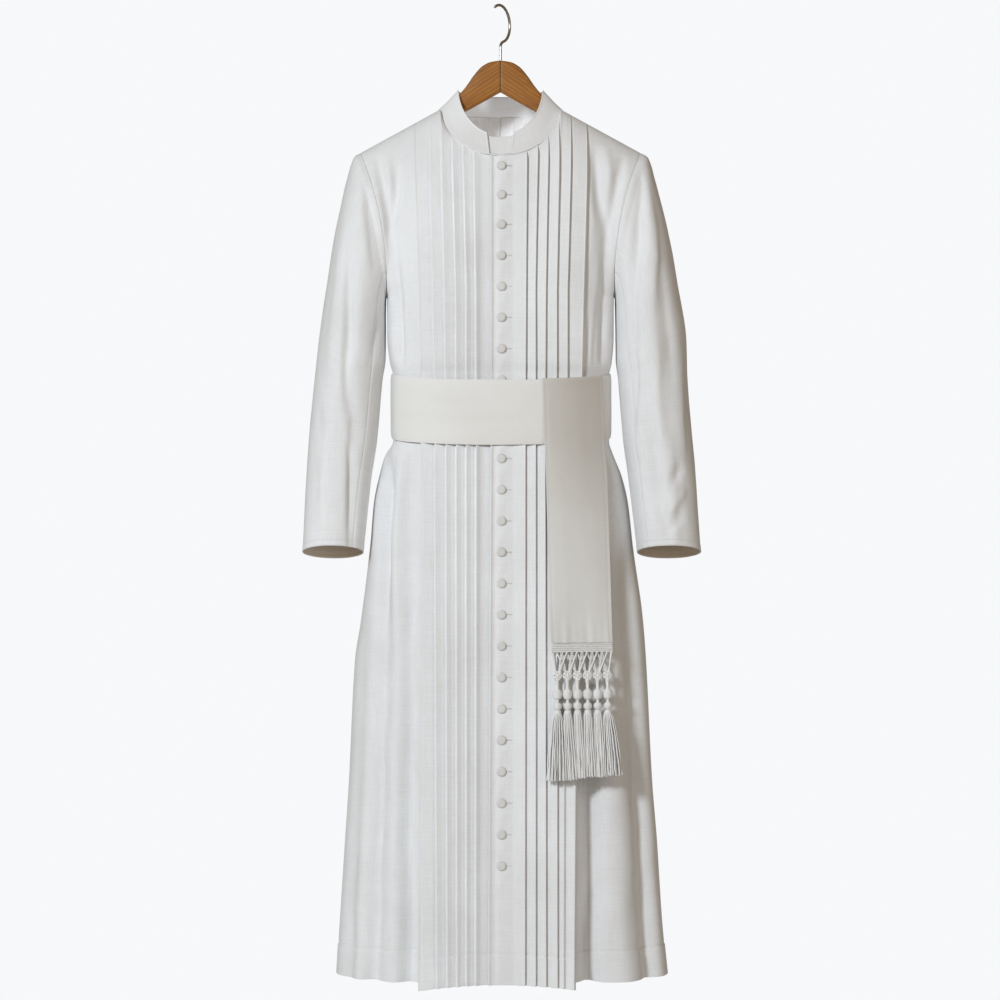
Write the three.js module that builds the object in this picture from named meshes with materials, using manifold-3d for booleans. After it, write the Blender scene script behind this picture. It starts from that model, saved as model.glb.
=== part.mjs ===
// A white cassock on a wooden hanger. A fascia goes round its waist, and one fringed end hangs from it.
// Units are millimetres: +Z is up, +Y goes from front to back and +X is the wearer's left.
// The origin is under the crown of the hook, where a rail carries it.
import * as THREE from 'three';
import Module from 'manifold-3d';
import { mergeVertices } from 'three/addons/utils/BufferGeometryUtils.js';

const wasm = await Module();
wasm.setup();

// Main sizes.
const cloth = 1.8;
const stiffCloth = 2;
const seamGap = 0.3;
const underarmZ = -476;
const waistZ = -665;
const hemZ = -1592;
const power = 2.4;
const upperRows = 8;
const neck = { width: 99, front: 85, back: 90, z: -170, drop: 86, tilt: 20, sideTilt: 52 };
const tab = { halfOpening: 20, half: 27, high: 0.98, low: 0.11, thick: 1.2, steps: 4 };
const rim = { width: 70, front: 60, back: 70, z: -139.5, drop: 82 };
const armhole = { outerX: 231, innerX: 187, topZ: -242, halfDepth: 62, tuck: 14 };
const pleatRise = 3;
const outerRise = 3.6;
const pleatEdge = 1.1;
const placketRise = 0.8;
const neckLineRise = 0.4;
const hemPleatDepth = 30;
const belowBelt = -716;
const hemShiftTop = -1276;
// Distances below the origin over which a rise fades, and shares of it in the rows nearest the top seams.
const lastPleatFades = [800, 1100];
const outerPleatFades = [740, 1000];
const seamShares = [0.15, 0.7];
const buttonSize = { radius: 8, height: 5.4, x: 1.6, clear: 0.45 };

// Half-widths and depths of the body, top to bottom.
const sections = [
  { z: -476, left: 186.5, right: 186.5, front: 100, back: 97 },
  { z: -545, left: 186.5, right: 186.5, front: 101, back: 96 },
  { z: -590, left: 183, right: 182, front: 98, back: 91 },
  { z: -608, left: 179, right: 177, front: 93, back: 86 },
  { z: -665, left: 178.5, right: 176.5, front: 93, back: 86 },
  { z: -718, left: 179, right: 177, front: 93, back: 86 },
  { z: -740, left: 186, right: 190, front: 97, back: 92 },
  { z: -775, left: 200, right: 200, front: 102, back: 98 },
  { z: -817, left: 210, right: 208.5, front: 106, back: 103 },
  { z: -891, left: 218.5, right: 215, front: 111, back: 108 },
  { z: -1012, left: 235, right: 230, front: 117, back: 115 },
  { z: -1078, left: 240, right: 240, front: 120, back: 119 },
  { z: -1276, left: 250, right: 250, front: 128, back: 128 },
  { z: -1375, left: 258, right: 256.5, front: 131, back: 132 },
  { z: -1507, left: 266.5, right: 265, front: 135, back: 135 },
  { z: hemZ, left: 275, right: 270, front: 137, back: 137 },
];

// Distances of the fold lines from the middle, at the top edge, the chest, the waist and the hem.
const frontLines = {
  left: [
    { top: 42, chest: 41, waist: 40, hem: 39, rise: pleatRise },
    { top: 60, chest: 56, waist: 56.5, hem: 56, rise: pleatRise },
    { top: 78, chest: 72.5, waist: 71.5, hem: 72.5, rise: pleatRise },
    { top: 88, chest: 82, waist: 81.5, hem: 82, rise: 1.6, plain: true },
    { top: 96, chest: 90, waist: 90, hem: 90.5, rise: pleatRise },
    { top: 115.5, chest: 107, waist: 107, hem: 104, rise: pleatRise },
  ],
  right: [
    { top: 42, chest: 39.5, waist: 39, hem: 39.5, rise: pleatRise },
    { top: 60, chest: 54.5, waist: 55, hem: 54, rise: pleatRise },
    { top: 78, chest: 71.5, waist: 71, hem: 69, rise: pleatRise },
    { top: 88, chest: 81, waist: 79.5, hem: 77.5, rise: 1.6, plain: true },
    { top: 96, chest: 89.5, waist: 87.5, hem: 84.5, rise: pleatRise },
    { top: 115.5, chest: 108, waist: 105.5, hem: 101, rise: pleatRise },
  ],
};
const backLines = [
  { top: 20, chest: 18, waist: 17, hem: 20, rise: pleatRise },
  { top: 40, chest: 36, waist: 34, hem: 42, rise: pleatRise },
  { top: 56, chest: 50, waist: 48, hem: 60, rise: 0, plain: true },
  { top: 72, chest: 64, waist: 62, hem: 78, rise: 0, plain: true },
  { top: 87, chest: 78, waist: 77, hem: 94, rise: 0, plain: true },
  { top: 96, chest: 88, waist: 88, hem: 104, rise: 0, plain: true },
];
const neckStops = { front: [42, 60, 78, 88, 96, 99], back: [96, 87, 72, 56, 40, 20, 0] };
const outerLines = {
  left: { top: 142, chest: 133, waist: 129, hem: 120.5 },
  right: { top: 141, chest: 129.5, waist: 126.5, hem: 132 },
};
const neckLines = {
  front: { top: 99, chest: 95.5, waist: 95, hem: 93.5 },
  back: { top: 99, chest: 97, waist: 97, hem: 114 },
};
const sideSteps = { front: 7, back: 6 };

// Soft folds of the body: a line from (x1, z1) to (x2, z2) as seen from the front, the reach of the
// fold to each side of it, and how high it stands. An open fold keeps its height at its lower end.
const folds = [
  { face: 'front', x1: 152, z1: -235, x2: 173, z2: -390, reach: 12, height: -6 },
  { face: 'front', x1: 200, z1: -250, x2: 172, z2: -415, reach: 10, height: -6 },
  { face: 'front', x1: 174, z1: -350, x2: 166, z2: -600, reach: 12, height: -5 },
  { face: 'front', x1: -166, z1: -262, x2: -180, z2: -400, reach: 11, height: -4 },
  { face: 'front', x1: -200, z1: -250, x2: -178, z2: -390, reach: 10, height: -4 },
  { face: 'front', x1: -176, z1: -360, x2: -158, z2: -600, reach: 12, height: -4 },
  { face: 'front', x1: -146, z1: -722, x2: -150, z2: hemZ, reach: 14, height: -10, open: true },
  { face: 'front', x1: -162, z1: -720, x2: -170, z2: -1050, reach: 11, height: 5 },
  { face: 'front', x1: -182, z1: -735, x2: -207, z2: hemZ, reach: 16, height: -9, open: true },
  { face: 'front', x1: 140, z1: -730, x2: 140, z2: hemZ, reach: 16, height: -9, open: true },
  { face: 'front', x1: 168, z1: -800, x2: 200, z2: hemZ, reach: 28, height: 9, open: true },
  { face: 'front', x1: 196, z1: -750, x2: 244, z2: hemZ, reach: 15, height: -9, open: true },
  { face: 'back', x1: 90, z1: -260, x2: 74, z2: -600, reach: 18, height: -4 },
  { face: 'back', x1: -100, z1: -280, x2: -82, z2: -600, reach: 18, height: -4 },
  { face: 'back', x1: 88, z1: -730, x2: 104, z2: hemZ, reach: 22, height: -11, open: true },
  { face: 'back', x1: -84, z1: -730, x2: -96, z2: hemZ, reach: 22, height: -11, open: true },
  { face: 'back', x1: 140, z1: -760, x2: 178, z2: hemZ, reach: 20, height: -12, open: true },
  { face: 'back', x1: -146, z1: -760, x2: -172, z2: hemZ, reach: 20, height: -12, open: true },
  { face: 'back', x1: 178, z1: -800, x2: 232, z2: hemZ, reach: 15, height: -8, open: true },
  { face: 'back', x1: -180, z1: -800, x2: -226, z2: hemZ, reach: 15, height: -8, open: true },
];

// Rings of a sleeve: heights at its outer and inner edge, how far it reaches to the front and back, how
// much it is drawn in there, and the forward lean of the ring.
const sleeveRings = [
  { outerZ: armhole.topZ, innerZ: underarmZ, front: 62, back: 62, tuck: armhole.tuck, lean: 0 },
  { outerZ: -251, innerZ: -482, front: 67, back: 66, tuck: 9, lean: 0 },
  { outerZ: -274, innerZ: -491, front: 71, back: 70, tuck: 5, lean: 0 },
  { outerZ: -312, innerZ: -503, front: 73, back: 73, tuck: 2, lean: 0 },
  { outerZ: -366, innerZ: -520, front: 74, back: 74, tuck: 0, lean: 0 },
  { outerZ: -430, innerZ: -545, front: 74, back: 73, tuck: 0, lean: 0 },
  { outerZ: -498, innerZ: -578, front: 73, back: 70, tuck: 0, lean: 0 },
  { outerZ: -566, innerZ: -618, front: 73, back: 64, tuck: 0, lean: 0.03 },
  { outerZ: -634, innerZ: -660, front: 74, back: 54, tuck: 0, lean: 0.08 },
  { outerZ: -702, innerZ: -712, front: 76, back: 42, tuck: 0, lean: 0.13 },
  { outerZ: -768, innerZ: -768, front: 79, back: 29, tuck: 0, lean: 0.18 },
  { outerZ: -834, innerZ: -832, front: 82, back: 17, tuck: 0, lean: 0.22 },
  { outerZ: -899, innerZ: -899, front: 86, back: 5, tuck: 0, lean: 0.25 },
];
const sleeveOuterX = [
  { z: -242, left: 231, right: 231 },
  { z: -251, left: 244, right: 242 },
  { z: -286, left: 255, right: 253 },
  { z: -319, left: 264, right: 261 },
  { z: -385, left: 279, right: 275 },
  { z: -451, left: 291, right: 285 },
  { z: -550, left: 306, right: 299 },
  { z: -616, left: 308, right: 306 },
  { z: -748, left: 318, right: 317 },
  { z: -899, left: 327.5, right: 323.5 },
];
const sleeveInnerX = [
  { z: -476, left: 187, right: 187 },
  { z: -484, left: 188.6, right: 188.6 },
  { z: -581, left: 190, right: 189.5 },
  { z: -616, left: 194, right: 194.5 },
  { z: -715, left: 201.5, right: 202.5 },
  { z: -781, left: 210, right: 212 },
  { z: -899, left: 223.5, right: 224 },
];
const sleeveSides = 16;
const sleeveSeams = { front: 6, back: 10 };
const sleeveGap = 0.35;

// The band of the fascia, and the hanging end from its top edge down to the fringe.
const band = {
  left: 180.6,
  right: 178.8,
  front: 100.6,
  back: 90,
  top: -606,
  bottom: -711,
  frontDip: 14,
  thick: 2.2,
  around: 40,
};
const fall = [
  { z: -607, x1: 68, x2: 166, y1: -100, y2: -89.5, y3: -57 },
  { z: -640, x1: 69, x2: 167, y1: -100, y2: -89.5, y3: -57 },
  { z: -712, x1: 71, x2: 169, y1: -101, y2: -90.5, y3: -58 },
  { z: -775, x1: 73, x2: 173, y1: -106, y2: -99, y3: -73 },
  { z: -850, x1: 75, x2: 175, y1: -111, y2: -106, y3: -88 },
  { z: -950, x1: 78, x2: 178, y1: -117, y2: -112.5, y3: -98 },
  { z: -1043, x1: 81, x2: 180, y1: -124, y2: -116, y3: -108 },
];
const fallSize = { thick: 1.5, steps: 8, gap: 0.5 };

// The fringe hangs in one plane, which leans out with the skirt.
const fringe = {
  header: 9,
  headerThick: 4,
  cord: 2.2,
  netHeight: 42,
  knots: 6,
  pitch: 16.4,
  lean: 4.2,
  strands: 18,
  rootWidth: 0.8,
  strandWidth: 2.6,
  skirtTop: 110,
  ends: [218, 217, 214, 213, 213, 211],
  slant: [-11, -1, -1, 1, 3, 13],
  spread: [8, 5.5, 7, 7, 6, 8],
};

// Buttons of the front: those above, behind and below the band.
const buttonRuns = [
  { first: -274.4, pitch: 47.2, count: 2 },
  { first: -370, pitch: 50, count: 6 },
  { first: -662, pitch: 42.6, count: 2 },
  { first: -747.6, pitch: 50.1, count: 14 },
];

const hanger = { topZ: -89, underZ: -141.4, slope: 0.558, half: 7, corner: 5.5, tipX: 212, mitre: 0.15 };
const hook = { wire: 2.25, radius: 30, turn: 59, overhang: 35, bend: 8 };
const clearOfWood = 0.9;

const finishes = {
  cassock: new THREE.MeshStandardMaterial({ color: 0xf3f2f1, roughness: 0.85 }),
  collar: new THREE.MeshStandardMaterial({ color: 0xf6f6f6, roughness: 0.7 }),
  fascia: new THREE.MeshStandardMaterial({ color: 0xf1ede4, roughness: 0.6 }),
  button: new THREE.MeshStandardMaterial({ color: 0xe9e7e4, roughness: 0.6 }),
  fringe: new THREE.MeshStandardMaterial({ color: 0xf4f2ee, roughness: 0.5 }),
  wood: new THREE.MeshStandardMaterial({ color: 0xbe8748, roughness: 0.45 }),
  wire: new THREE.MeshStandardMaterial({ color: 0x7d6a55, roughness: 0.35, metalness: 0.9 }),
};

const cassock = new THREE.Group();
const lerp = THREE.MathUtils.lerp;
const smooth = THREE.MathUtils.smoothstep;
const radians = THREE.MathUtils.degToRad;
const point = (x, y, z) => new THREE.Vector3(x, y, z);
const sideName = (side) => (side > 0 ? 'left' : 'right');

// Reads a table whose rows go down in z, with straight lines between the rows.
function readTable(table, column, z) {
  const next = table.findIndex((row) => row.z <= z);
  if (next === 0) return table[0][column];
  if (next < 0) return table[table.length - 1][column];
  const above = table[next - 1];
  const below = table[next];
  return lerp(above[column], below[column], (z - above.z) / (below.z - above.z));
}

// Nothing up to twice the corner, and from there to 1 a straight rise with a rounded start.
function lateRise(value, corner = 0.08) {
  const past = value - corner;
  if (past < -corner) return 0;
  if (past > corner) return past / (1 - corner);
  return (past + corner) ** 2 / (4 * corner) / (1 - corner);
}

function addMesh(name, geometry, material, parent = cassock) {
  const mesh = new THREE.Mesh(geometry, material);
  mesh.name = name;
  parent.add(mesh);
  return mesh;
}

function signedVolume(positions, faces) {
  let volume = 0;
  for (let i = 0; i < faces.length; i += 3) {
    const [a, b, c] = [positions[faces[i]], positions[faces[i + 1]], positions[faces[i + 2]]];
    volume += a.dot(point().crossVectors(b, c));
  }
  return volume;
}

function solidFrom(positions, faces) {
  const facing = signedVolume(positions, faces) > 0 ? faces : faces.toReversed();
  const geometry = new THREE.BufferGeometry();
  const numbers = positions.flatMap((p) => p.toArray());
  geometry.setAttribute('position', new THREE.Float32BufferAttribute(numbers, 3));
  geometry.setIndex(facing);
  geometry.computeVertexNormals();
  return geometry;
}

// A wall between two grids of points, closed along its edges. A wall that goes all round has no side edges.
function wallSolid(outer, inner, around = false) {
  const rows = outer.length;
  const columns = outer[0].length;
  const faces = [];
  const quad = (a, b, c, d) => faces.push(a, b, c, a, c, d);
  const out = (row, column) => row * columns + (column % columns);
  const inn = (row, column) => rows * columns + out(row, column);
  const last = around ? columns : columns - 1;
  for (let column = 0; column < last; column++) {
    for (let row = 0; row < rows - 1; row++) {
      quad(out(row, column), out(row + 1, column), out(row + 1, column + 1), out(row, column + 1));
      quad(inn(row, column), inn(row, column + 1), inn(row + 1, column + 1), inn(row + 1, column));
    }
    quad(out(0, column), out(0, column + 1), inn(0, column + 1), inn(0, column));
    quad(out(rows - 1, column), inn(rows - 1, column), inn(rows - 1, column + 1), out(rows - 1, column + 1));
  }
  for (let row = 0; row < rows - 1 && !around; row++) {
    quad(out(row, 0), inn(row, 0), inn(row + 1, 0), out(row + 1, 0));
    quad(out(row, last), out(row + 1, last), inn(row + 1, last), inn(row, last));
  }
  return solidFrom([...outer.flat(), ...inner.flat()], faces);
}

// A solid through closed rings of points, with a flat cap at each end.
function loft(rings) {
  const count = rings[0].length;
  const faces = [];
  for (let ring = 0; ring < rings.length - 1; ring++) {
    for (let i = 0; i < count; i++) {
      const [a, b] = [ring * count + i, ring * count + ((i + 1) % count)];
      faces.push(a, b, b + count, a, b + count, a + count);
    }
  }
  const end = (rings.length - 1) * count;
  for (let i = 1; i < count - 1; i++) faces.push(0, i + 1, i, end, end + i, end + i + 1);
  return solidFrom(rings.flat(), faces);
}

// Normals of a grid of points. override(row, column) may give a normal of its own.
function gridNormals(grid, around, override = () => null) {
  const columns = grid[0].length;
  const at = (row, column) => {
    const inside = around ? (column + columns) % columns : THREE.MathUtils.clamp(column, 0, columns - 1);
    return grid[THREE.MathUtils.clamp(row, 0, grid.length - 1)][inside];
  };
  return grid.map((line, row) => line.map((_, column) => {
    const own = override(row, column);
    if (own) return own;
    const across = at(row, column + 1).clone().sub(at(row, column - 1));
    const along = at(row + 1, column).clone().sub(at(row - 1, column));
    return across.cross(along).normalize();
  }));
}

function shifted(grid, normals, amount) {
  return grid.map((line, row) => line.map((p, column) => {
    const by = typeof amount === 'function' ? amount(row, column) : amount;
    return p.clone().addScaledVector(normals[row][column], by);
  }));
}

// Draws one edge of a grid in by a distance, towards the next points of the grid.
function drawIn(grid, edge, distance) {
  const rows = grid.length;
  const columns = grid[0].length;
  const pull = (p, next) => p.clone().addScaledVector(next.clone().sub(p).normalize(), distance);
  const copy = grid.map((line) => [...line]);
  for (let row = 0; row < rows; row++) {
    if (edge === 'first') copy[row][0] = pull(grid[row][0], grid[row][1]);
    if (edge === 'last') copy[row][columns - 1] = pull(grid[row][columns - 1], grid[row][columns - 2]);
  }
  for (let column = 0; column < columns; column++) {
    if (edge === 'top') copy[0][column] = pull(grid[0][column], grid[1][column]);
  }
  return copy;
}

function trimmedWall(outer, inner, edges) {
  const trim = (grid) => edges.reduce((kept, edge) => drawIn(kept, edge, seamGap / 2), grid);
  return wallSolid(trim(outer), trim(inner));
}

// The body of the cassock.
function foldHeight(face, x, z) {
  let height = 0;
  for (const fold of folds) {
    const along = (z - fold.z1) / (fold.z2 - fold.z1);
    if (fold.face !== face || along <= 0 || along > 1) continue;
    const swell = Math.sin(Math.PI * along * (fold.open ? 0.5 : 1)) ** 0.7;
    const away = (x - lerp(fold.x1, fold.x2, along)) / fold.reach;
    height += fold.height * swell * Math.exp(-away * away);
  }
  const clearOfBand = 1 - smooth(z, -740, -715) * (1 - smooth(z, -605, -585));
  return height * clearOfBand;
}

// Depth of the step from the front panel back to the side of the skirt.
function pleatDepth(z) {
  return z > belowBelt ? 0 : hemPleatDepth * ((z - belowBelt) / (hemZ - belowBelt)) ** 0.8;
}

function lineX(line, z, topZ) {
  if (z > underarmZ) return lerp(line.chest, line.top, (z - underarmZ) / (topZ - underarmZ));
  if (z > waistZ) return lerp(line.waist, line.chest, (z - waistZ) / (underarmZ - waistZ));
  return lerp(line.hem, line.waist, (z - hemZ) / (waistZ - hemZ));
}

function loopPoint(loop, turn, side = 1) {
  const level = Math.cos(turn);
  const depth = level > 0 ? loop.front : loop.back;
  return point(side * loop.width * Math.sin(turn), -depth * level, loop.z - loop.drop * lateRise(level));
}

function neckNormal(turn, side = 1) {
  const tilt = radians(lerp(neck.tilt, neck.sideTilt, Math.sin(turn) ** 2));
  const flat = Math.cos(tilt);
  return point(side * Math.sin(turn) * flat, -Math.cos(turn) * flat, Math.sin(tilt));
}

const shoulderStart = loopPoint(neck, Math.PI / 2);
const shoulderSlope = (armhole.topZ - shoulderStart.z) / (armhole.outerX - neck.width);
const shoulderNormal = (side) => point(-side * shoulderSlope, 0, 1).normalize();

function armholePoint(turn, side, face) {
  const middle = (armhole.outerX + armhole.innerX) / 2;
  const x = middle + (armhole.outerX - middle) * Math.cos(turn) - armhole.tuck * Math.sin(turn) ** 2;
  const z = (armhole.topZ + underarmZ) / 2 + ((armhole.topZ - underarmZ) / 2) * Math.cos(turn);
  return point(side * x, (face === 'front' ? -1 : 1) * armhole.halfDepth * Math.sin(turn), z);
}

function topPoint(x, side, face) {
  if (Math.abs(x) > neck.width) {
    return point(side * x, 0, shoulderStart.z + shoulderSlope * (Math.abs(x) - neck.width));
  }
  const turn = Math.asin(x / neck.width);
  return loopPoint(neck, face === 'front' ? turn : Math.PI - turn, side);
}

function sectionPoint(x, z, side, face, sunk = 0) {
  const width = readTable(sections, sideName(side), z);
  const depth = readTable(sections, face, z) - sunk;
  const y = depth * (1 - Math.min(Math.abs(x) / width, 1) ** power) ** (1 / power);
  return point(side * x, face === 'front' ? -y : y, z);
}

// A point of a fold line: row.lift runs from 0 at the underarm to 1 at the top edge, and lower rows have a z.
function linePoint(line, row, side, face, sunk = 0) {
  if (row.lift === undefined) return sectionPoint(lineX(line, row.z), row.z, side, face, sunk);
  const top = topPoint(line.top, side, face);
  top.y += face === 'front' ? sunk : -sunk;
  const z = lerp(underarmZ, top.z, Math.sin((Math.PI / 2) * row.lift));
  const low = sectionPoint(line.chest, underarmZ, side, face, sunk).y;
  const bend = lerp(1.5, 2.2, smooth(Math.abs(line.top), 50, 110));
  const share = (z - underarmZ) / (top.z - underarmZ);
  const y = top.y + (low - top.y) * (1 - Math.min(share, 1) ** bend) ** (1 / bend);
  return point(side * lineX(line, z, top.z), y, z);
}

// A point between the outer line and the side seam or armhole.
function sidePoint(line, row, share, side, face) {
  const z = row.lift === undefined ? row.z : underarmZ;
  const width = readTable(sections, sideName(side), z);
  const fullDepth = readTable(sections, face, z);
  const sunk = face === 'front' ? pleatDepth(z) : 0;
  const depth = fullDepth - sunk;
  const start = Math.asin((lineX(line, z) / width) ** (power / 2));
  const turn = lerp(start, Math.PI / 2, share);
  const sign = face === 'front' ? -1 : 1;
  if (row.lift === undefined) {
    const flat = Math.max(Math.cos(turn), 0) ** (2 / power);
    return point(side * width * Math.sin(turn) ** (2 / power), sign * depth * flat, z);
  }
  const near = linePoint(line, row, side, face);
  const far = armholePoint(Math.PI * (1 - row.lift), side, face);
  const startX = Math.sin(start) ** (2 / power);
  const bentX = (Math.sin(turn) ** (2 / power) - startX) / (1 - startX);
  const bentY = 1 - (Math.max(Math.cos(turn), 0) / Math.cos(start)) ** (2 / power);
  const straight = smooth(row.lift, 0, 0.6);
  return point(
    lerp(near.x, far.x, lerp(bentX, share, straight)),
    lerp(near.y, far.y, lerp(bentY, share, straight)),
    lerp(near.z, far.z, share),
  );
}

const bodyRows = [];
for (let row = upperRows; row > 0; row--) bodyRows.push({ lift: row / upperRows });
for (const { z } of sections) bodyRows.push({ z });

const moved = (line, by) => ({
  top: line.top + by,
  chest: line.chest + by,
  waist: line.waist + by,
  hem: line.hem + by,
});
const straightLine = (x, hem = x) => ({ top: x, chest: x, waist: x, hem });

function frontColumns(side) {
  const name = sideName(side);
  const under = cloth + seamGap + 0.1;
  const placket = [straightLine(-16, -20), straightLine(2), straightLine(20)];
  const underlap = [straightLine(-20), straightLine(0), straightLine(22)];
  const columns = side > 0
    ? placket.map((line) => ({ line, rise: placketRise }))
    : [...underlap.map((line) => ({ line, sunk: under })), { line: straightLine(32) }];
  for (const line of frontLines[name]) {
    if (line.top > neck.width) columns.push({ line: neckLines.front, rise: neckLineRise });
    columns.push({ line, rise: line.rise });
    if (!line.plain) columns.push({ line: moved(line, pleatEdge) });
  }
  columns.push({ line: outerLines[name], rise: outerRise, pleat: 'edge' });
  const low = moved(outerLines[name], pleatEdge);
  for (let step = 0; step <= sideSteps.front; step++) {
    columns.push({ line: low, share: step / sideSteps.front, pleat: step === 0 ? 'foot' : undefined });
  }
  return columns;
}

function backColumns(side) {
  const columns = [{ line: straightLine(0) }];
  for (const line of backLines) {
    columns.push({ line, rise: line.rise });
    if (!line.plain) columns.push({ line: moved(line, pleatEdge) });
  }
  columns.push({ line: neckLines.back });
  for (let step = 0; step <= sideSteps.back; step++) {
    columns.push({ line: outerLines[sideName(side)], share: step / sideSteps.back });
  }
  return columns;
}

// The hem dips at the corners of the front panel and is a little shorter at the middle.
function hemShift(column, face) {
  if (face === 'back' || column.share !== undefined) return 0;
  return 4 - 10 * (Math.abs(column.line.hem) / outerLines.left.hem) ** 2;
}

function panel(side, face) {
  const columns = face === 'front' ? frontColumns(side) : backColumns(side);
  const last = columns.length - 1;
  const base = bodyRows.map((row) => columns.map((column) => {
    const p = column.share === undefined
      ? linePoint(column.line, row, side, face, column.sunk ?? 0)
      : sidePoint(column.line, row, column.share, side, face);
    p.z += row.z === undefined ? 0 : hemShift(column, face) * smooth(-p.z, -hemShiftTop, -hemZ);
    return p;
  }));
  const sign = side * (face === 'front' ? -1 : 1);
  const outwards = (normals) => normals.map((line) => line.map((n) => n.multiplyScalar(sign)));
  const override = (row, column) => {
    if (row === 0) {
      const x = columns[column].line.top;
      const onShoulder = columns[column].share > 0 || Math.abs(x) > neck.width;
      if (onShoulder) return shoulderNormal(side).multiplyScalar(sign);
      const turn = Math.asin(x / neck.width);
      return neckNormal(face === 'front' ? turn : Math.PI - turn, side).multiplyScalar(sign);
    }
    const onSeam = column === last && row >= upperRows;
    const onMiddle = column === 0 && face === 'back';
    if (!onSeam && !onMiddle) return null;
    const across = onSeam ? point(0, face === 'front' ? 1 : -1, 0) : point(side, 0, 0);
    const low = base[Math.min(row + 1, base.length - 1)][column];
    return across.cross(low.clone().sub(base[row - 1][column])).normalize();
  };
  const normals = outwards(gridNormals(base, false, override));
  const softened = base.map((line, row) => line.map((p, column) => {
    const calm = column === last || (column === 0 && face === 'back') || row === 0 ? 0 : 1;
    return p.clone().addScaledVector(normals[row][column], calm * foldHeight(face, p.x, p.z));
  }));
  const outerNormal = point(0, -1, 0.05).normalize();
  // Near the deep pleat the wall turns a corner, so its thickness follows the corner there.
  const corner = point(side, face === 'front' ? -1 : 1, 0);
  const thicknessNormals = normals.map((line, row) => line.map((n, column) => {
    if (!columns[column].pleat || row === 0) return n;
    return outerNormal.clone().lerp(corner, smooth(pleatDepth(bodyRows[row].z ?? 0), 0, 3 * cloth));
  }));
  const inner = shifted(softened, thicknessNormals, -cloth);
  const rises = (row, column) => {
    const full = columns[column].rise ?? 0;
    const down = -(bodyRows[row].z ?? 0);
    const fades = side > 0 && face === 'front' && columns[column].line === frontLines.left.at(-1);
    const fade = fades ? 1 - smooth(down, ...lastPleatFades) : 1;
    const outerFade = columns[column].pleat === 'edge' ? 1 - smooth(down, ...outerPleatFades) : 1;
    return full * (seamShares[row] ?? 1) * fade * outerFade;
  };
  const straightOut = normals.map((line, row) => line.map((n, column) => (
    columns[column].pleat === 'edge' && row > 0 ? outerNormal : n
  )));
  const outer = shifted(softened, straightOut, rises);
  const edges = face === 'front' ? ['last', 'top'] : ['first', 'last', 'top'];
  addMesh(`${face}_${sideName(side)}`, trimmedWall(outer, inner, edges), finishes.cassock);
}

// Sleeves. Turn 0 is the outer edge of a ring and a quarter turn is its front.
function sleevePoint(ring, turn, side) {
  const name = sideName(side);
  const outerX = readTable(sleeveOuterX, name, ring.outerZ);
  const innerX = readTable(sleeveInnerX, name, ring.innerZ);
  const x = lerp(innerX, outerX, (1 + Math.cos(turn)) / 2) - ring.tuck * Math.sin(turn) ** 2;
  const middle = (ring.back - ring.front) / 2;
  const y = middle - ((ring.front + ring.back) / 2) * Math.sin(turn);
  const z = lerp(ring.innerZ, ring.outerZ, (1 + Math.cos(turn)) / 2) - ring.lean * (y - middle);
  return point(side * x, y, z);
}

function sleeve(side) {
  const turns = Array.from({ length: sleeveSides }, (_, i) => (i * 2 * Math.PI) / sleeveSides);
  const full = sleeveRings.map((ring) => turns.map((turn) => sleevePoint(ring, turn, side)));
  const start = drawIn(full, 'top', sleeveGap);
  const normals = gridNormals(start, true).map((line) => line.map((n) => n.multiplyScalar(side)));
  const inner = shifted(start, normals, -cloth);
  const strip = (grid, from, to) => grid.map((line) => {
    const kept = [];
    for (let i = from; i <= to; i++) kept.push(line[(i + sleeveSides) % sleeveSides]);
    return kept;
  });
  const pieces = {
    upper: [sleeveSeams.back - sleeveSides, sleeveSeams.front],
    under: [sleeveSeams.front, sleeveSeams.back],
  };
  for (const [name, [from, to]] of Object.entries(pieces)) {
    const geometry = trimmedWall(strip(start, from, to), strip(inner, from, to), ['first', 'last']);
    addMesh(`sleeve_${sideName(side)}_${name}`, geometry, finishes.cassock);
  }
}

// The collar stands from the neck seam to its rim, and its ends leave a gap in front for the tab.
function collarPoint(share, turn) {
  const low = loopPoint(neck, turn);
  const high = loopPoint(rim, turn);
  return low.lerp(high, share);
}

function collarGrid(rowShares, turnsAt) {
  return rowShares.map((share) => turnsAt(share).map((turn) => collarPoint(share, turn)));
}

function addCollar() {
  const rows = [1, 0.5, 0];
  const endTurn = (share, x) => Math.asin(x / lerp(neck.width, rim.width, share));
  const half = [
    ...neckStops.front.map((x) => Math.asin(x / neck.width)),
    ...neckStops.back.map((x) => Math.PI - Math.asin(x / neck.width)),
  ];
  const turnsAt = (share) => {
    const start = endTurn(share, tab.halfOpening);
    const other = half.slice(0, -1).reverse().map((turn) => 2 * Math.PI - turn);
    return [start, ...half, ...other, 2 * Math.PI - start];
  };
  const grid = collarGrid(rows, turnsAt);
  const seamNormal = (row, column) => (
    row === rows.length - 1 ? neckNormal(turnsAt(0)[column]).negate() : null
  );
  const normals = gridNormals(grid, false, seamNormal).map((line) => line.map((n) => n.negate()));
  const lift = (g) => [...g.slice(0, -1), drawIn(g.toReversed(), 'top', seamGap / 2)[0]];
  const outer = lift(grid);
  const inner = lift(shifted(grid, normals, -stiffCloth));
  addMesh('collar_band', wallSolid(outer, inner), finishes.collar);

  const tabTurns = (share) => Array.from({ length: tab.steps + 1 }, (_, i) => (
    endTurn(share, lerp(-tab.half, tab.half, i / tab.steps))
  ));
  const face = collarGrid([tab.high, 0.5, tab.low], tabTurns);
  const tabNormals = gridNormals(face, false).map((line) => line.map((n) => n.negate()));
  const depth = stiffCloth + seamGap + 0.1;
  const front = shifted(face, tabNormals, -depth);
  const back = shifted(face, tabNormals, -depth - tab.thick);
  addMesh('collar_tab', wallSolid(front, back), finishes.collar);
}

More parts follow.
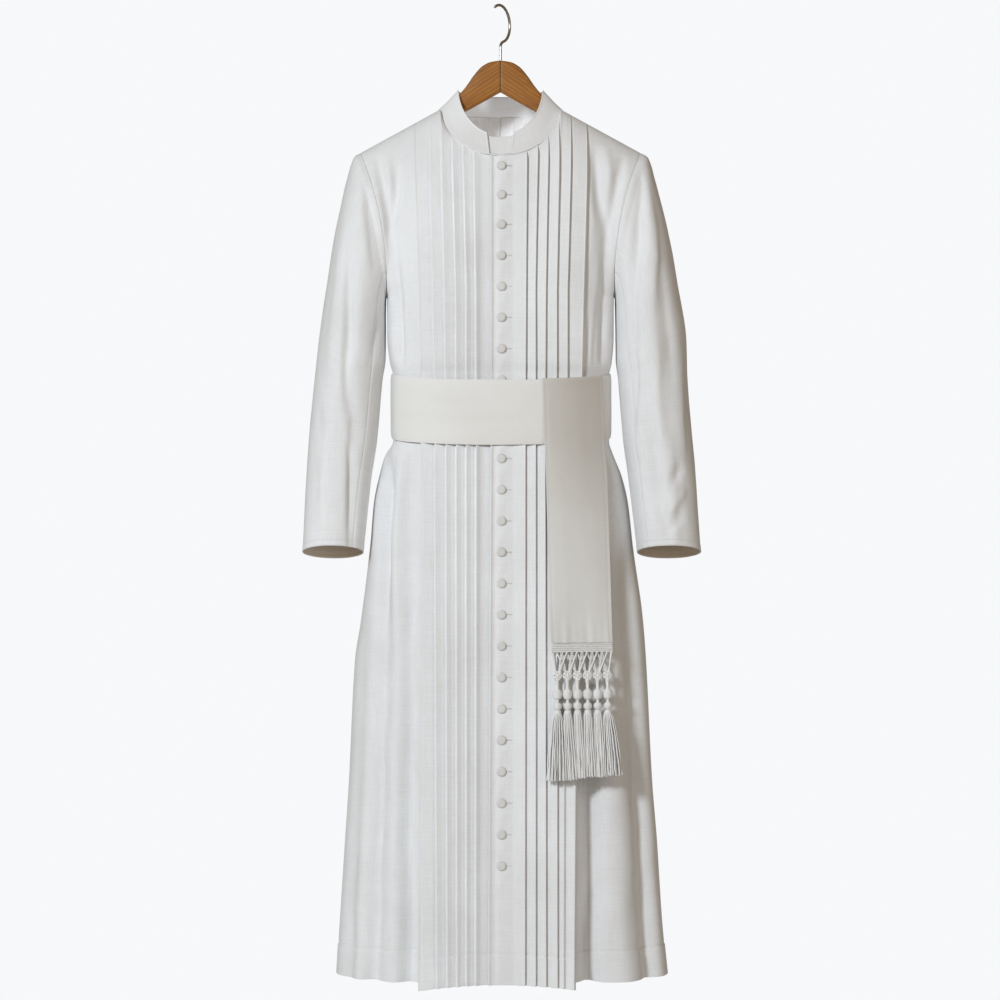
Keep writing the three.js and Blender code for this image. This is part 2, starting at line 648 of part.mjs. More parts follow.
// The band of the fascia rests on the buttons in front.
function bandPoint(turn, z, out) {
  const width = (Math.sin(turn) > 0 ? band.left : band.right) + out;
  const depth = (Math.cos(turn) > 0 ? band.front : band.back) + out;
  const flat = (value) => Math.sign(value) * Math.abs(value) ** (2 / power);
  return point(width * flat(Math.sin(turn)), -depth * flat(Math.cos(turn)), z);
}

function addBand() {
  const turns = Array.from({ length: band.around }, (_, i) => (i * 2 * Math.PI) / band.around);
  const rows = [0, 0.5, 1];
  const dip = (turn) => band.frontDip * Math.max(Math.cos(turn), 0);
  const layer = (out) => rows.map((share) => turns.map((turn) => (
    bandPoint(turn, lerp(band.top, band.bottom, share) - dip(turn), out)
  )));
  addMesh('fascia_band', wallSolid(layer(band.thick), layer(0), true), finishes.fascia);
}

// A curve through the three depths of a row of the fall.
function fallPoint(z, share, out = 0) {
  const column = (name) => readTable(fall, name, z);
  const [y1, y2, y3] = [column('y1'), column('y2'), column('y3')];
  const y = y1 * (1 - share) * (1 - 2 * share) + 4 * y2 * share * (1 - share) + y3 * share * (2 * share - 1);
  return point(lerp(column('x1'), column('x2'), share), y - out, z);
}

function addFall() {
  const shares = Array.from({ length: fallSize.steps + 1 }, (_, i) => i / fallSize.steps);
  const { thick, gap } = fallSize;
  const bandTop = (share) => {
    const p = fallPoint(band.top, share);
    const turn = Math.acos(Math.min(Math.abs(p.y) / (band.front + band.thick), 1) ** (power / 2));
    return band.top - band.frontDip * Math.cos(turn);
  };
  const over = band.thick + 0.3;
  const lip = [
    { back: over, face: gap + thick, under: gap },
    { back: 0.6, face: gap + thick, under: gap },
  ];
  const lipRow = (side) => lip.map(({ back, ...heights }) => shares.map((share) => {
    const p = fallPoint(band.top, share, -back);
    return p.setZ(bandTop(share) + heights[side]);
  }));
  const cornerOut = shares.map((share) => fallPoint(band.top, share, thick).setZ(bandTop(share) + gap));
  const cornerIn = shares.map((share) => fallPoint(band.top, share).setZ(bandTop(share) + gap));
  const rows = fall.slice(1).map(({ z }) => z);
  const strip = (out) => rows.map((z) => shares.map((share) => fallPoint(z, share, out)));
  const outer = [...lipRow('face'), cornerOut, ...strip(thick)];
  const inner = [...lipRow('under'), cornerIn, ...strip(0)];
  addMesh('fascia_fall', wallSolid(outer, inner), finishes.fascia);
}

// A closed geometry as a solid that can be joined to others.
function toSolid(geometry) {
  geometry.deleteAttribute('normal');
  geometry.deleteAttribute('uv');
  const merged = mergeVertices(geometry, 1e-4);
  const mesh = new wasm.Mesh({
    numProp: 3,
    vertProperties: Float32Array.from(merged.attributes.position.array),
    triVerts: Uint32Array.from(merged.index.array),
  });
  return new wasm.Manifold(mesh);
}

function fromSolid(solid) {
  const mesh = solid.getMesh();
  const geometry = new THREE.BufferGeometry();
  geometry.setAttribute('position', new THREE.Float32BufferAttribute(mesh.vertProperties, 3));
  geometry.setIndex([...mesh.triVerts]);
  geometry.computeVertexNormals();
  return geometry;
}

const joined = (solids) => fromSolid(solids.reduce((sum, solid) => sum.add(solid)));

// A straight bar between two points, with a few sides.
function bar(from, to, width, sides, endWidth = width) {
  const length = from.distanceTo(to);
  const shape = new THREE.CylinderGeometry(endWidth / 2, width / 2, length, sides);
  const turn = new THREE.Quaternion().setFromUnitVectors(point(0, 1, 0), to.clone().sub(from).normalize());
  shape.applyQuaternion(turn);
  const middle = from.clone().lerp(to, 0.5);
  return shape.translate(middle.x, middle.y, middle.z);
}

function fringeGroup() {
  const row = fall[fall.length - 1];
  const left = point(row.x1, row.y1 - fallSize.thick / 2, row.z);
  const right = point(row.x2, row.y3 - fallSize.thick / 2, row.z);
  const group = new THREE.Group();
  group.position.copy(left).lerp(right, 0.5);
  group.position.z -= seamGap + 0.1;
  group.rotation.set(0, 0, Math.atan2(right.y - left.y, right.x - left.x));
  const leaning = new THREE.Group();
  leaning.rotation.x = -radians(fringe.lean);
  group.add(leaning);
  cassock.add(group);
  return { leaning, width: left.distanceTo(right) };
}

const knotX = (index) => (index - (fringe.knots - 1) / 2) * fringe.pitch;

function addFringe() {
  const { leaning, width } = fringeGroup();
  const header = new THREE.BoxGeometry(width, fringe.headerThick, fringe.header);
  header.translate(0, 0, -fringe.header / 2);
  const parts = [toSolid(header)];
  const bottom = -fringe.header - fringe.netHeight;
  for (let i = 0; i < fringe.knots; i++) {
    for (const way of [-1, 1]) {
      const from = point(knotX(i) + way * fringe.pitch, 0, -fringe.header + 1);
      const reach = Math.abs(from.x) > width / 2 - 2 ? Math.sign(from.x) * (width / 2 - 2) : from.x;
      const foot = point(knotX(i) + way * 0.4, 0, bottom);
      parts.push(toSolid(bar(foot, point(reach, 0, from.z), fringe.cord, 4)));
    }
    const knob = new THREE.CylinderGeometry(2, 2, 3, 6).rotateX(Math.PI / 2).translate(knotX(i), 0, bottom);
    parts.push(toSolid(knob));
  }
  addMesh('fringe_net', joined(parts), finishes.fringe, leaning);
  for (let i = 0; i < fringe.knots; i++) addTassel(leaning, i, bottom - 1.5 - seamGap);
}

// A tassel: knot, two balls, wrapped neck and a skirt of strands. Heights go down from its top.
function addTassel(parent, index, top) {
  const profile = [
    [0, 0], [3.5, -0.5], [5.2, -4], [2.2, -8], [1.9, -20], [6, -23.5], [7.2, -28.5], [5.4, -34], [2.2, -38],
    [4.9, -42], [5.5, -46], [3.6, -50.5], [4.1, -53], [4.1, -59], [3.2, -63], [0, -63],
  ].map(([radius, z]) => new THREE.Vector2(radius, z)).reverse();
  const head = new THREE.LatheGeometry(profile, 6).rotateX(Math.PI / 2);
  const skirtTop = -60;
  const length = fringe.ends[index] - fringe.header - fringe.netHeight + skirtTop;
  const parts = [toSolid(head)];
  for (let i = 0; i < fringe.strands; i++) {
    const turn = i * 2.4;
    const out = Math.sqrt((i + 0.5) / fringe.strands);
    const root = point(2.9 * out * Math.cos(turn), 2.4 * out * Math.sin(turn), skirtTop);
    const reach = fringe.spread[index];
    const foot = point(
      fringe.slant[index] + reach * out * Math.cos(turn),
      5 * out * Math.sin(turn),
      skirtTop - length + 3 * Math.sin(5 * i),
    );
    parts.push(toSolid(bar(root, foot, fringe.rootWidth, 3, fringe.strandWidth)));
  }
  const mesh = addMesh(`tassel_${index + 1}`, joined(parts), finishes.fringe, parent);
  mesh.position.set(knotX(index), 0, top);
}

// Buttons sit on the overlapping front, square to it.
function addButtons() {
  const { radius, height, x, clear } = buttonSize;
  const profile = [
    [0, 0], [radius * 0.8, 0], [radius, radius * 0.25], [radius * 0.75, height * 0.8], [0, height],
  ].map(([r, y]) => new THREE.Vector2(r, y));
  const shape = new THREE.LatheGeometry(profile, 7);
  const line = straightLine(x);
  const onFront = (z) => {
    if (z < underarmZ) return linePoint(line, { z }, 1, 'front');
    const topZ = topPoint(x, 1, 'front').z;
    const share = (z - underarmZ) / (topZ - underarmZ);
    return linePoint(line, { lift: Math.asin(share) / (Math.PI / 2) }, 1, 'front');
  };
  let number = 0;
  for (const run of buttonRuns) {
    for (let i = 0; i < run.count; i++) {
      number += 1;
      const z = run.first - i * run.pitch;
      const slope = onFront(z + radius).sub(onFront(z - radius));
      const normal = point(1, 0, 0).cross(slope).normalize();
      const mesh = addMesh(`button_${String(number).padStart(2, '0')}`, shape, finishes.button);
      mesh.position.copy(onFront(z)).addScaledVector(normal, placketRise + clear);
      mesh.quaternion.setFromUnitVectors(point(0, 1, 0), normal);
    }
  }
}

// The wooden arms follow the shoulders inside the cloth, and meet in a mitre under the hook.
function addArms() {
  const contour = [
    { x: 0, top: hanger.topZ }, { x: 16, top: hanger.topZ - 2.5 }, { x: 30, top: -98.5 },
    { x: 45, top: -115 }, { x: 56, top: -131 }, { x: 70, top: -148 }, { x: 84, top: -166 },
    { x: 99, top: -2.6 }, { x: 130, top: 0 }, { x: 165, top: 0 }, { x: 198, top: 0 }, { x: 207, top: -2.5 },
    { x: hanger.tipX, top: -9 },
  ];
  // A rectangle with rounded corners, three points to a corner.
  const section = (x, top, bottom) => {
    const { half, corner } = hanger;
    const [middle, tall] = [(top + bottom) / 2, (top - bottom) / 2];
    const ring = [];
    for (const [across, up] of [[1, 1], [-1, 1], [-1, -1], [1, -1]]) {
      const side = point(x, across * half, middle + up * (tall - corner));
      const round = point(x, across * (half - 0.3 * corner), middle + up * (tall - 0.3 * corner));
      const flat = point(x, across * (half - corner), middle + up * tall);
      ring.push(...(across * up > 0 ? [side, round, flat] : [flat, round, side]));
    }
    return ring;
  };
  for (const side of [-1, 1]) {
    const rings = contour.map(({ x, top }) => {
      const shoulderZ = shoulderStart.z + shoulderSlope * (x - neck.width);
      const under = shoulderZ - (cloth + clearOfWood) * Math.hypot(1, shoulderSlope);
      const highest = x < neck.width ? top : under + top;
      const tipLift = 10 * smooth(x, 196, hanger.tipX);
      return section(side * Math.max(x, hanger.mitre), highest, hanger.underZ - hanger.slope * x + tipLift);
    });
    addMesh(`hanger_arm_${sideName(side)}`, loft(rings), finishes.wood);
  }
}

function addHook() {
  const { wire, radius, turn, overhang, bend } = hook;
  const middleZ = wire - radius;
  const flat = (u, z) => point(u * Math.cos(radians(turn)), u * Math.sin(radians(turn)), z);
  const points = [];
  const ends = { tip: 90 + overhang, low: -72 };
  const steps = 12;
  for (let i = 0; i <= steps; i++) {
    const angle = radians(lerp(ends.tip, ends.low, i / steps));
    points.push(flat(radius * Math.cos(angle), middleZ + radius * Math.sin(angle)));
  }
  points.push(flat(1.2, middleZ - radius - bend * 0.25));
  points.push(flat(0, middleZ - radius - bend));
  points.push(point(0, 0, hanger.topZ + seamGap));
  const path = new THREE.CatmullRomCurve3(points, false, 'centripetal');
  const ring = new THREE.Shape();
  ring.absarc(0, 0, wire, 0, 2 * Math.PI);
  const geometry = new THREE.ExtrudeGeometry(ring, { steps: 30, curveSegments: 3, extrudePath: path });
  addMesh('hanger_hook', geometry, finishes.wire);
}

for (const side of [1, -1]) {
  panel(side, 'front');
  panel(side, 'back');
  sleeve(side);
}
addCollar();
addBand();
addFall();
addFringe();
addButtons();
addArms();
addHook();

export default cassock;
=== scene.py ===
# A white cassock on a wooden hanger, with a fringed fascia. The shapes repeat the part's own sizes, in
# millimetres, and each mesh is brought to metres as it is made.
import bisect
import math

import bmesh
import bpy
from mathutils import Matrix, Vector, noise


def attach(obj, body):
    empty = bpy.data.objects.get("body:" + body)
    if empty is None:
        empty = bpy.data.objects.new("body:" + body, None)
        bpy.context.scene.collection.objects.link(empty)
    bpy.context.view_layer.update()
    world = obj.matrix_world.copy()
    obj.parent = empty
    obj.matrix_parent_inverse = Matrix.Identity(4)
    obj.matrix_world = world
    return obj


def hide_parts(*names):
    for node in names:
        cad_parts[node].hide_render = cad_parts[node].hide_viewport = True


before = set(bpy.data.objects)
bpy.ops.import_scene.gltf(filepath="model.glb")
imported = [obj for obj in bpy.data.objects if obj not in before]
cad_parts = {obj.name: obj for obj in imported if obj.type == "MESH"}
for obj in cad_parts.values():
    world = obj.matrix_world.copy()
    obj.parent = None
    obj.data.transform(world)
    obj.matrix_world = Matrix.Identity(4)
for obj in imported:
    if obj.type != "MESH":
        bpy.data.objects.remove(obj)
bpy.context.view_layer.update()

metres = 0.001
pi = math.pi


def lerp(low, high, share):
    return low + (high - low) * share


def smooth(value, low, high):
    share = min(max((value - low) / (high - low), 0), 1)
    return share * share * (3 - 2 * share)


def wander(place, seed, reach):
    # slow uneven noise from -1 to 1 along one or two directions
    return noise.noise(Vector((place[0] / reach[0], place[1] / reach[1], seed * 7.3)))


class Curve:
    # a smooth line through pairs of (place, value) that never overshoots them
    def __init__(self, pairs):
        pairs = sorted(pairs)
        self.places = [place for place, _ in pairs]
        self.values = [value for _, value in pairs]
        last = len(pairs) - 1
        rise = [(self.values[i + 1] - self.values[i]) / (self.places[i + 1] - self.places[i])
                for i in range(last)]
        inner = [0 if rise[i - 1] * rise[i] <= 0 else 2 * rise[i - 1] * rise[i] / (rise[i - 1] + rise[i])
                 for i in range(1, last)]
        self.slopes = [rise[0], *inner, rise[-1]]

    def __call__(self, place):
        if place <= self.places[0]:
            return self.values[0]
        if place >= self.places[-1]:
            return self.values[-1]
        i = bisect.bisect_right(self.places, place) - 1
        step = self.places[i + 1] - self.places[i]
        t = (place - self.places[i]) / step
        keep, turn = (1 + 2 * t) * (1 - t) ** 2, t * (1 - t) ** 2 * step
        reach, arrive = t * t * (3 - 2 * t), t * t * (t - 1) * step
        return (self.values[i] * keep + self.slopes[i] * turn
                + self.values[i + 1] * reach + self.slopes[i + 1] * arrive)


def curves(names, rows):
    # one curve for each column of a table whose first column is the place
    return {name: Curve([(row[0], row[i + 1]) for row in rows]) for i, name in enumerate(names)}


def sideName(side):
    return "left" if side > 0 else "right"


# Materials

class Wire:
    def __init__(self, shader, socket):
        self.shader = shader
        self.socket = socket

    def math(self, operation, *values):
        return self.shader.node("Math", {"operation": operation}, dict(enumerate(values)))

    def __add__(self, other):
        return self.math("ADD", self, other)

    def __sub__(self, other):
        return self.math("SUBTRACT", self, other)

    def __rsub__(self, other):
        return self.math("SUBTRACT", other, self)

    def __mul__(self, other):
        return self.math("MULTIPLY", self, other)

    __radd__ = __add__

    def sine(self):
        return self.math("SINE", self)

    def above(self, low, high):
        return self.shader.node("MapRange", {"interpolation_type": "SMOOTHSTEP"},
                                {"Value": self, "From Min": low, "From Max": high})


class Shader:
    def __init__(self, name):
        self.material = bpy.data.materials.new(name)
        self.material.use_nodes = True
        self.tree = self.material.node_tree
        self.surface = self.tree.nodes["Principled BSDF"]

    def node(self, kind, settings=None, sockets=None, out=0):
        made = self.tree.nodes.new("ShaderNode" + kind)
        for name, value in (settings or {}).items():
            if name == "stops":
                for stop, (place, colour) in zip(self.stops(made.color_ramp, len(value)), value):
                    stop.position, stop.color = place, (*colour, 1)
            else:
                setattr(made, name, value)
        for name, value in (sockets or {}).items():
            self.plug(made.inputs[name], value)
        return Wire(self, made.outputs[out])

    def stops(self, ramp, count):
        while len(ramp.elements) < count:
            ramp.elements.new(1)
        return ramp.elements

    def plug(self, socket, value):
        if isinstance(value, Wire):
            self.tree.links.new(value.socket, socket)
        else:
            socket.default_value = value

    def set(self, **sockets):
        for name, value in sockets.items():
            self.plug(self.surface.inputs[name.replace("_", " ")], value)
        return self.material

    def object(self):
        return self.node("TexCoord", out="Object")

    def uv(self):
        return self.node("TexCoord", out="UV")

    def parts(self, vector):
        split = self.tree.nodes.new("ShaderNodeSeparateXYZ")
        self.plug(split.inputs[0], vector)
        return [Wire(self, out) for out in split.outputs]

    def stretched(self, vector, scale):
        return self.node("Mapping", {}, {"Vector": vector, "Scale": scale})

    def noise(self, vector, scale, detail=3, roughness=0.55):
        return self.node("TexNoise", {}, {"Vector": vector, "Scale": scale, "Detail": detail,
                                          "Roughness": roughness})

    def ramp(self, value, stops):
        return self.node("ValToRGB", {"stops": stops}, {"Fac": value})

    def mix(self, share, low, high):
        ends = {"Factor": share, "A": low, "B": high}
        made = self.tree.nodes.new("ShaderNodeMix")
        made.data_type = "RGBA"
        for socket in made.inputs:
            if socket.enabled and socket.name in ends:
                value = ends[socket.name]
                self.plug(socket, (*value, 1) if isinstance(value, tuple) and len(value) == 3 else value)
        return Wire(self, next(out for out in made.outputs if out.enabled))

    def bump(self, height, strength, distance):
        return self.node("Bump", {}, {"Height": height, "Strength": strength, "Distance": distance})


def wovenCloth(name, tones, thread, roughness, sheen, slub=0.5, relief=0.35):
    # crossed threads on the piece's own flat pattern, with slubs and a little change of tone
    cloth = Shader(name)
    across, down, _ = cloth.parts(cloth.uv())
    warp = (across * (2 * pi / thread)).sine()
    weft = (down * (2 * pi / thread)).sine()
    weave = warp * weft
    long = cloth.noise(cloth.stretched(cloth.uv(), (420, 20, 1)), 1, 4, 0.7)
    wide = cloth.noise(cloth.stretched(cloth.uv(), (20, 420, 1)), 1, 4, 0.7)
    slubs = long * 0.5 + wide * 0.5
    cloud = cloth.noise(cloth.object(), 9, 4)
    tone = cloth.ramp(cloud * 0.35 + slubs * 0.65, [(0.4, tones[0]), (0.6, tones[1])])
    height = weave * 0.25 + slubs * slub
    cloth.set(Base_Color=tone, Roughness=roughness + slubs * 0.1,
              Normal=cloth.bump(height, relief, 0.0004))
    cloth.set(Sheen_Weight=sheen, Sheen_Roughness=0.4, Specular_IOR_Level=0.25)
    return cloth.material


def ribbedSilk(name, tones, rib, roughness, paintedShade=0.0):
    # fine cross ribs with a soft sheen, for the fascia, with painted shade towards the top where asked
    silk = Shader(name)
    across, down, _ = silk.parts(silk.uv())
    ribs = (down * (2 * pi / rib)).sine()
    threads = silk.noise(silk.stretched(silk.uv(), (60, 1400, 1)), 1, 3)
    warps = silk.noise(silk.stretched(silk.uv(), (1400, 60, 1)), 1, 3)
    cloud = silk.noise(silk.object(), 7, 4)
    tone = silk.ramp(cloud * 0.6 + threads * 0.4, [(0.3, tones[0]), (0.72, tones[1])])
    # painted shade: the top of the piece is painted darker and warmer
    if paintedShade:  # a warmer tone towards the top of the piece
        height = silk.parts(silk.object())[2]
        tone = silk.mix(height.above(-1.0, -0.62) * paintedShade, tone, (0.5, 0.45, 0.38))
    silk.set(Base_Color=tone, Roughness=roughness + threads * 0.12,
             Normal=silk.bump(ribs * 0.3 + threads * 0.4 + warps * 0.3, 0.3, 0.0004))
    silk.set(Sheen_Weight=0.2, Sheen_Roughness=0.35, Specular_IOR_Level=0.35)
    return silk.material


def twistedThread(name, tones, twist, roughness):
    # slanting plies, for cords, wraps and strands
    thread = Shader(name)
    x, y, z = thread.parts(thread.object())
    plies = ((x + z * 0.8 + y) * (2 * pi / twist)).sine()
    fibres = thread.noise(thread.stretched(thread.object(), (1800, 1800, 300)), 1, 2)
    cloud = thread.noise(thread.object(), 60, 3)
    tone = thread.ramp(plies * 0.2 + fibres * 0.4 + cloud * 0.4, [(0.15, tones[0]), (0.6, tones[1])])
    thread.set(Base_Color=tone, Roughness=roughness + fibres * 0.1,
               Normal=thread.bump(plies * 0.6 + fibres * 0.3, 0.5, 0.0003))
    thread.set(Sheen_Weight=0.25, Sheen_Roughness=0.3, Specular_IOR_Level=0.45)
    return thread.material


def hangerWood(slope):
    # the grain runs along each arm, so the two arms mirror each other at the mitre
    wood = Shader("lacquered_wood")
    x, y, z = wood.parts(wood.object())
    side = wood.node("Math", {"operation": "ABSOLUTE"}, {0: x})
    along = side * math.cos(slope) - z * math.sin(slope)
    up = side * math.sin(slope) + z * math.cos(slope)
    grain = wood.node("CombineXYZ", {}, {0: along, 1: y, 2: up})
    wavy = wood.noise(wood.stretched(grain, (14, 60, 60)), 1, 3)
    rings = (up * 1100 + y * 240 + wavy * 9).sine()
    fibres = wood.noise(wood.stretched(grain, (60, 1500, 1500)), 1, 3)
    pores = wood.noise(wood.stretched(grain, (110, 2600, 2600)), 1, 1).above(0.62, 0.74)
    share = rings * 0.07 + fibres * 0.55 + wavy * 0.38
    tone = wood.ramp(share, [(0.25, (0.22, 0.078, 0.012)), (0.45, (0.34, 0.13, 0.02)),
                             (0.6, (0.43, 0.178, 0.03)), (0.8, (0.52, 0.235, 0.046))])
    tone = wood.mix(pores * 0.35, tone, (0.2, 0.09, 0.035))
    tone = wood.mix(1 - side.above(0.0003, 0.0008), tone, (0.07, 0.028, 0.01))  # the mitre's joint line
    wood.set(Base_Color=tone, Roughness=0.5 + fibres * 0.14,
             Normal=wood.bump(fibres * 0.5 - pores * 0.5, 0.25, 0.0003))
    wood.set(Coat_Weight=0.12, Coat_Roughness=0.3, Specular_IOR_Level=0.3)
    return wood.material


def hookSteel():
    steel = Shader("hook_steel")
    drawn = steel.noise(steel.stretched(steel.object(), (900, 900, 90)), 1, 3)
    spots = steel.noise(steel.object(), 160, 4).above(0.55, 0.75)
    tone = steel.mix(spots * 0.5, (0.52, 0.46, 0.4), (0.3, 0.23, 0.17))
    steel.set(Base_Color=tone, Metallic=1.0, Roughness=0.24 + drawn * 0.14 + spots * 0.12,
              Normal=steel.bump(drawn, 0.15, 0.0002))
    return steel.material


bodyCloth = wovenCloth("cassock_wool", [(0.79, 0.79, 0.79), (0.88, 0.885, 0.89)], 0.0006, 0.78, 0.12)
insideCloth = wovenCloth("cassock_wool_inside", [(0.8, 0.79, 0.78), (0.88, 0.87, 0.86)], 0.0006, 0.85, 0.05)
# painted shade: the inside of the sleeves is the white cloth painted a warm tan for the shade within the
# cuffs
shadedSleeveInside = wovenCloth("sleeve_inside_painted_shade", [(0.78, 0.68, 0.56), (0.88, 0.79, 0.68)], 0.0006, 0.85, 0.05)
collarCloth = wovenCloth("collar_cloth", [(0.82, 0.82, 0.82), (0.9, 0.9, 0.9)], 0.0004, 0.6, 0.1, 0.35, 0.25)
buttonCloth = wovenCloth("button_cloth", [(0.64, 0.63, 0.61), (0.77, 0.76, 0.745)], 0.0005, 0.55, 0.15)
fasciaSilk = ribbedSilk("fascia_silk", [(0.78, 0.765, 0.73), (0.87, 0.86, 0.83)], 0.0009, 0.55)
# painted shade: the hanging fall's silk is the band's silk painted darker, and darker and warmer still
# towards its top
shadedFallSilk = ribbedSilk("fascia_silk_hanging_painted_shade", [(0.7, 0.685, 0.65), (0.8, 0.79, 0.77)], 0.0009, 0.55, 0.52)
buttonholeTwist = twistedThread("buttonhole_twist", [(0.56, 0.52, 0.47), (0.74, 0.71, 0.67)], 0.0008, 0.5)
sewingThread = twistedThread("sewing_thread", [(0.66, 0.65, 0.63), (0.84, 0.83, 0.81)], 0.0008, 0.5)
fringeSilk = twistedThread("fringe_silk", [(0.8, 0.79, 0.77), (0.96, 0.96, 0.955)], 0.0016, 0.42)
wood = hangerWood(math.radians(34))
steel = hookSteel()
print("materials made")


# Building

def addPiece(name, mesh, material, slotName, nodes=()):
    piece = bpy.data.objects.new(name, mesh)
    bpy.context.scene.collection.objects.link(piece)
    mesh.materials.append(material)
    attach(piece, "root")
    if nodes:
        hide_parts(*nodes)
    return piece


def meshFrom(shape, name, flat=False):
    mesh = bpy.data.meshes.new(name)
    shape.to_mesh(mesh)
    shape.free()
    if not flat:
        mesh.shade_smooth()
    return mesh


def faceOut(shape, axis):
    # all faces the same way round, and away from an upright axis
    bmesh.ops.recalc_face_normals(shape, faces=shape.faces)
    shape.normal_update()
    facing = sum(face.calc_area() * (face.normal.x * (face.calc_center_median().x - axis[0])
                                     + face.normal.y * (face.calc_center_median().y - axis[1]))
                 for face in shape.faces)
    if facing < 0:
        bmesh.ops.reverse_faces(shape, faces=shape.faces)


def gridShape(columns, rows, place, around=False):
    # a grid bent into a piece; its UV map is its flat pattern in metres
    shape = bmesh.new()
    lastColumn, lastRow = len(columns) - 1, len(rows) - 1
    bmesh.ops.create_grid(shape, x_segments=lastColumn, y_segments=lastRow, size=0.5)
    pattern = shape.loops.layers.uv.new("pattern")
    spots = {}
    for vert in shape.verts:
        spot = (round((vert.co.x + 0.5) * lastColumn), round((vert.co.y + 0.5) * lastRow))
        vert.co = place(columns[spot[0]], rows[spot[1]]) * metres
        spots[spot] = vert
    across, down = [0.0], [0.0]
    for i in range(lastColumn):
        across.append(across[-1] + (spots[i + 1, lastRow].co - spots[i, lastRow].co).length)
    middle = lastColumn // 2
    for i in range(lastRow):
        down.append(down[-1] + (spots[middle, i + 1].co - spots[middle, i].co).length)
    spotOf = {vert: spot for spot, vert in spots.items()}
    for face in shape.faces:
        for loop in face.loops:
            column, row = spotOf[loop.vert]
            loop[pattern].uv = (across[column], down[row])
    if around:
        bmesh.ops.remove_doubles(shape, verts=shape.verts, dist=1e-6)
    return shape


def clothMesh(name, columns, rows, place, axis=(0, 0), around=False):
    shape = gridShape(columns, rows, place, around)
    faceOut(shape, (axis[0] * metres, axis[1] * metres))
    pattern = shape.loops.layers.uv.active
    spots = [loop[pattern].uv for face in shape.faces for loop in face.loops]
    wide, long = max(spot.x for spot in spots), max(spot.y for spot in spots)
    area = sum(face.calc_area() for face in shape.faces)
    print(f"{name}: lower edge {wide:.3f} m, down {long:.3f} m, {area:.3f} m2, {len(shape.faces)} faces")
    return meshFrom(shape, name)


def thicken(piece, thickness, inside=None, bevel=None):
    solid = piece.modifiers.new("thickness", "SOLIDIFY")
    solid.thickness = thickness * metres
    solid.offset = -1
    if inside:
        piece.data.materials.append(inside)
        solid.material_offset = 1
        solid.material_offset_rim = 0
    if bevel:
        edges = piece.modifiers.new("edges", "BEVEL")
        edges.width = bevel * metres
        edges.segments = 2
        edges.limit_method = "ANGLE"
        edges.angle_limit = math.radians(50)
    return piece


def threads(name, paths, radius, material, slotName, nodes=(), sides=1, ends=()):
    # round threads along lists of points in millimetres; ends gives the shares of the radius at the start
    line = bpy.data.curves.new(name, "CURVE")
    line.dimensions = "3D"
    line.bevel_depth = radius * metres
    line.bevel_resolution = sides
    line.use_fill_caps = True
    for path in paths:
        spline = line.splines.new("POLY")
        spline.points.add(len(path) - 1)
        for spot, point in zip(spline.points, path):
            spot.co = (*(point * metres), 1)
        for spot, share in zip(spline.points, ends):
            spot.radius = share
        spline.use_smooth = True
    holder = bpy.data.objects.new(name, line)
    bpy.context.scene.collection.objects.link(holder)
    evaluated = holder.evaluated_get(bpy.context.evaluated_depsgraph_get())
    mesh = bpy.data.meshes.new_from_object(evaluated)
    mesh.name = name
    bpy.data.objects.remove(holder)
    bpy.data.curves.remove(line)
    return addPiece(name, mesh, material, slotName, nodes)


def stitchPaths(points, stitch, gap):
    # cuts a path into stitches
    paths = []
    travelled, start = 0.0, None
    for a, b in zip(points, points[1:]):
        length = (b - a).length
        along = 0.0
        while length - along > 1e-6:
            inPhase = travelled % (stitch + gap)
            sewing = inPhase < stitch
            left = (stitch if sewing else stitch + gap) - inPhase
            step = min(max(left, 1e-4), length - along)
            here, there = a.lerp(b, along / length), a.lerp(b, (along + step) / length)
            if sewing:
                if start is None:
                    start = [here]
                start.append(there)
            elif start:
                paths.append(start)
                start = None
            along += step
            travelled += step
    if start:
        paths.append(start)
    return [[path[0], path[-1]] for path in paths if (path[-1] - path[0]).length > 0.3 * stitch]


def steps(low, high, count):
    return [lerp(low, high, i / count) for i in range(count + 1)]


# The body

power = 2.4
underarmZ, waistZ, hemZ = -476, -665, -1592
cloth = 1.8
neck = {"width": 99, "front": 85, "back": 90, "z": -170, "drop": 86}
rim = {"width": 70, "front": 60, "back": 70, "z": -139.5, "drop": 82}
armhole = {"outerX": 231, "innerX": 187, "topZ": -242, "halfDepth": 62, "tuck": 14}
hemPleatDepth = 30
belowBelt = -716
hemWidth = 48
hemShiftTop = 1276
sheetThick = 1.5
pleatFoot = 1.1  # from a pleat's line to the cloth below its edge
# Distances below the origin over which a pleat fades.
outerFades = (740, 1000)
lastPleatFades = (800, 1100)

sections = curves(("left", "right", "front", "back"), [
    (-476, 186.5, 186.5, 100, 97), (-545, 186.5, 186.5, 101, 96), (-590, 183, 182, 98, 91),
    (-608, 179, 177, 93, 86), (-665, 178.5, 176.5, 93, 86), (-718, 179, 177, 93, 86),
    (-740, 186, 190, 97, 92), (-775, 200, 200, 102, 98), (-817, 210, 208.5, 106, 103),
    (-891, 218.5, 215, 111, 108), (-1012, 235, 230, 117, 115), (-1078, 240, 240, 120, 119),
    (-1276, 250, 250, 128, 128), (-1375, 258, 256.5, 131, 132), (-1507, 266.5, 265, 135, 135),
    (-1592, 275, 270, 137, 137)])

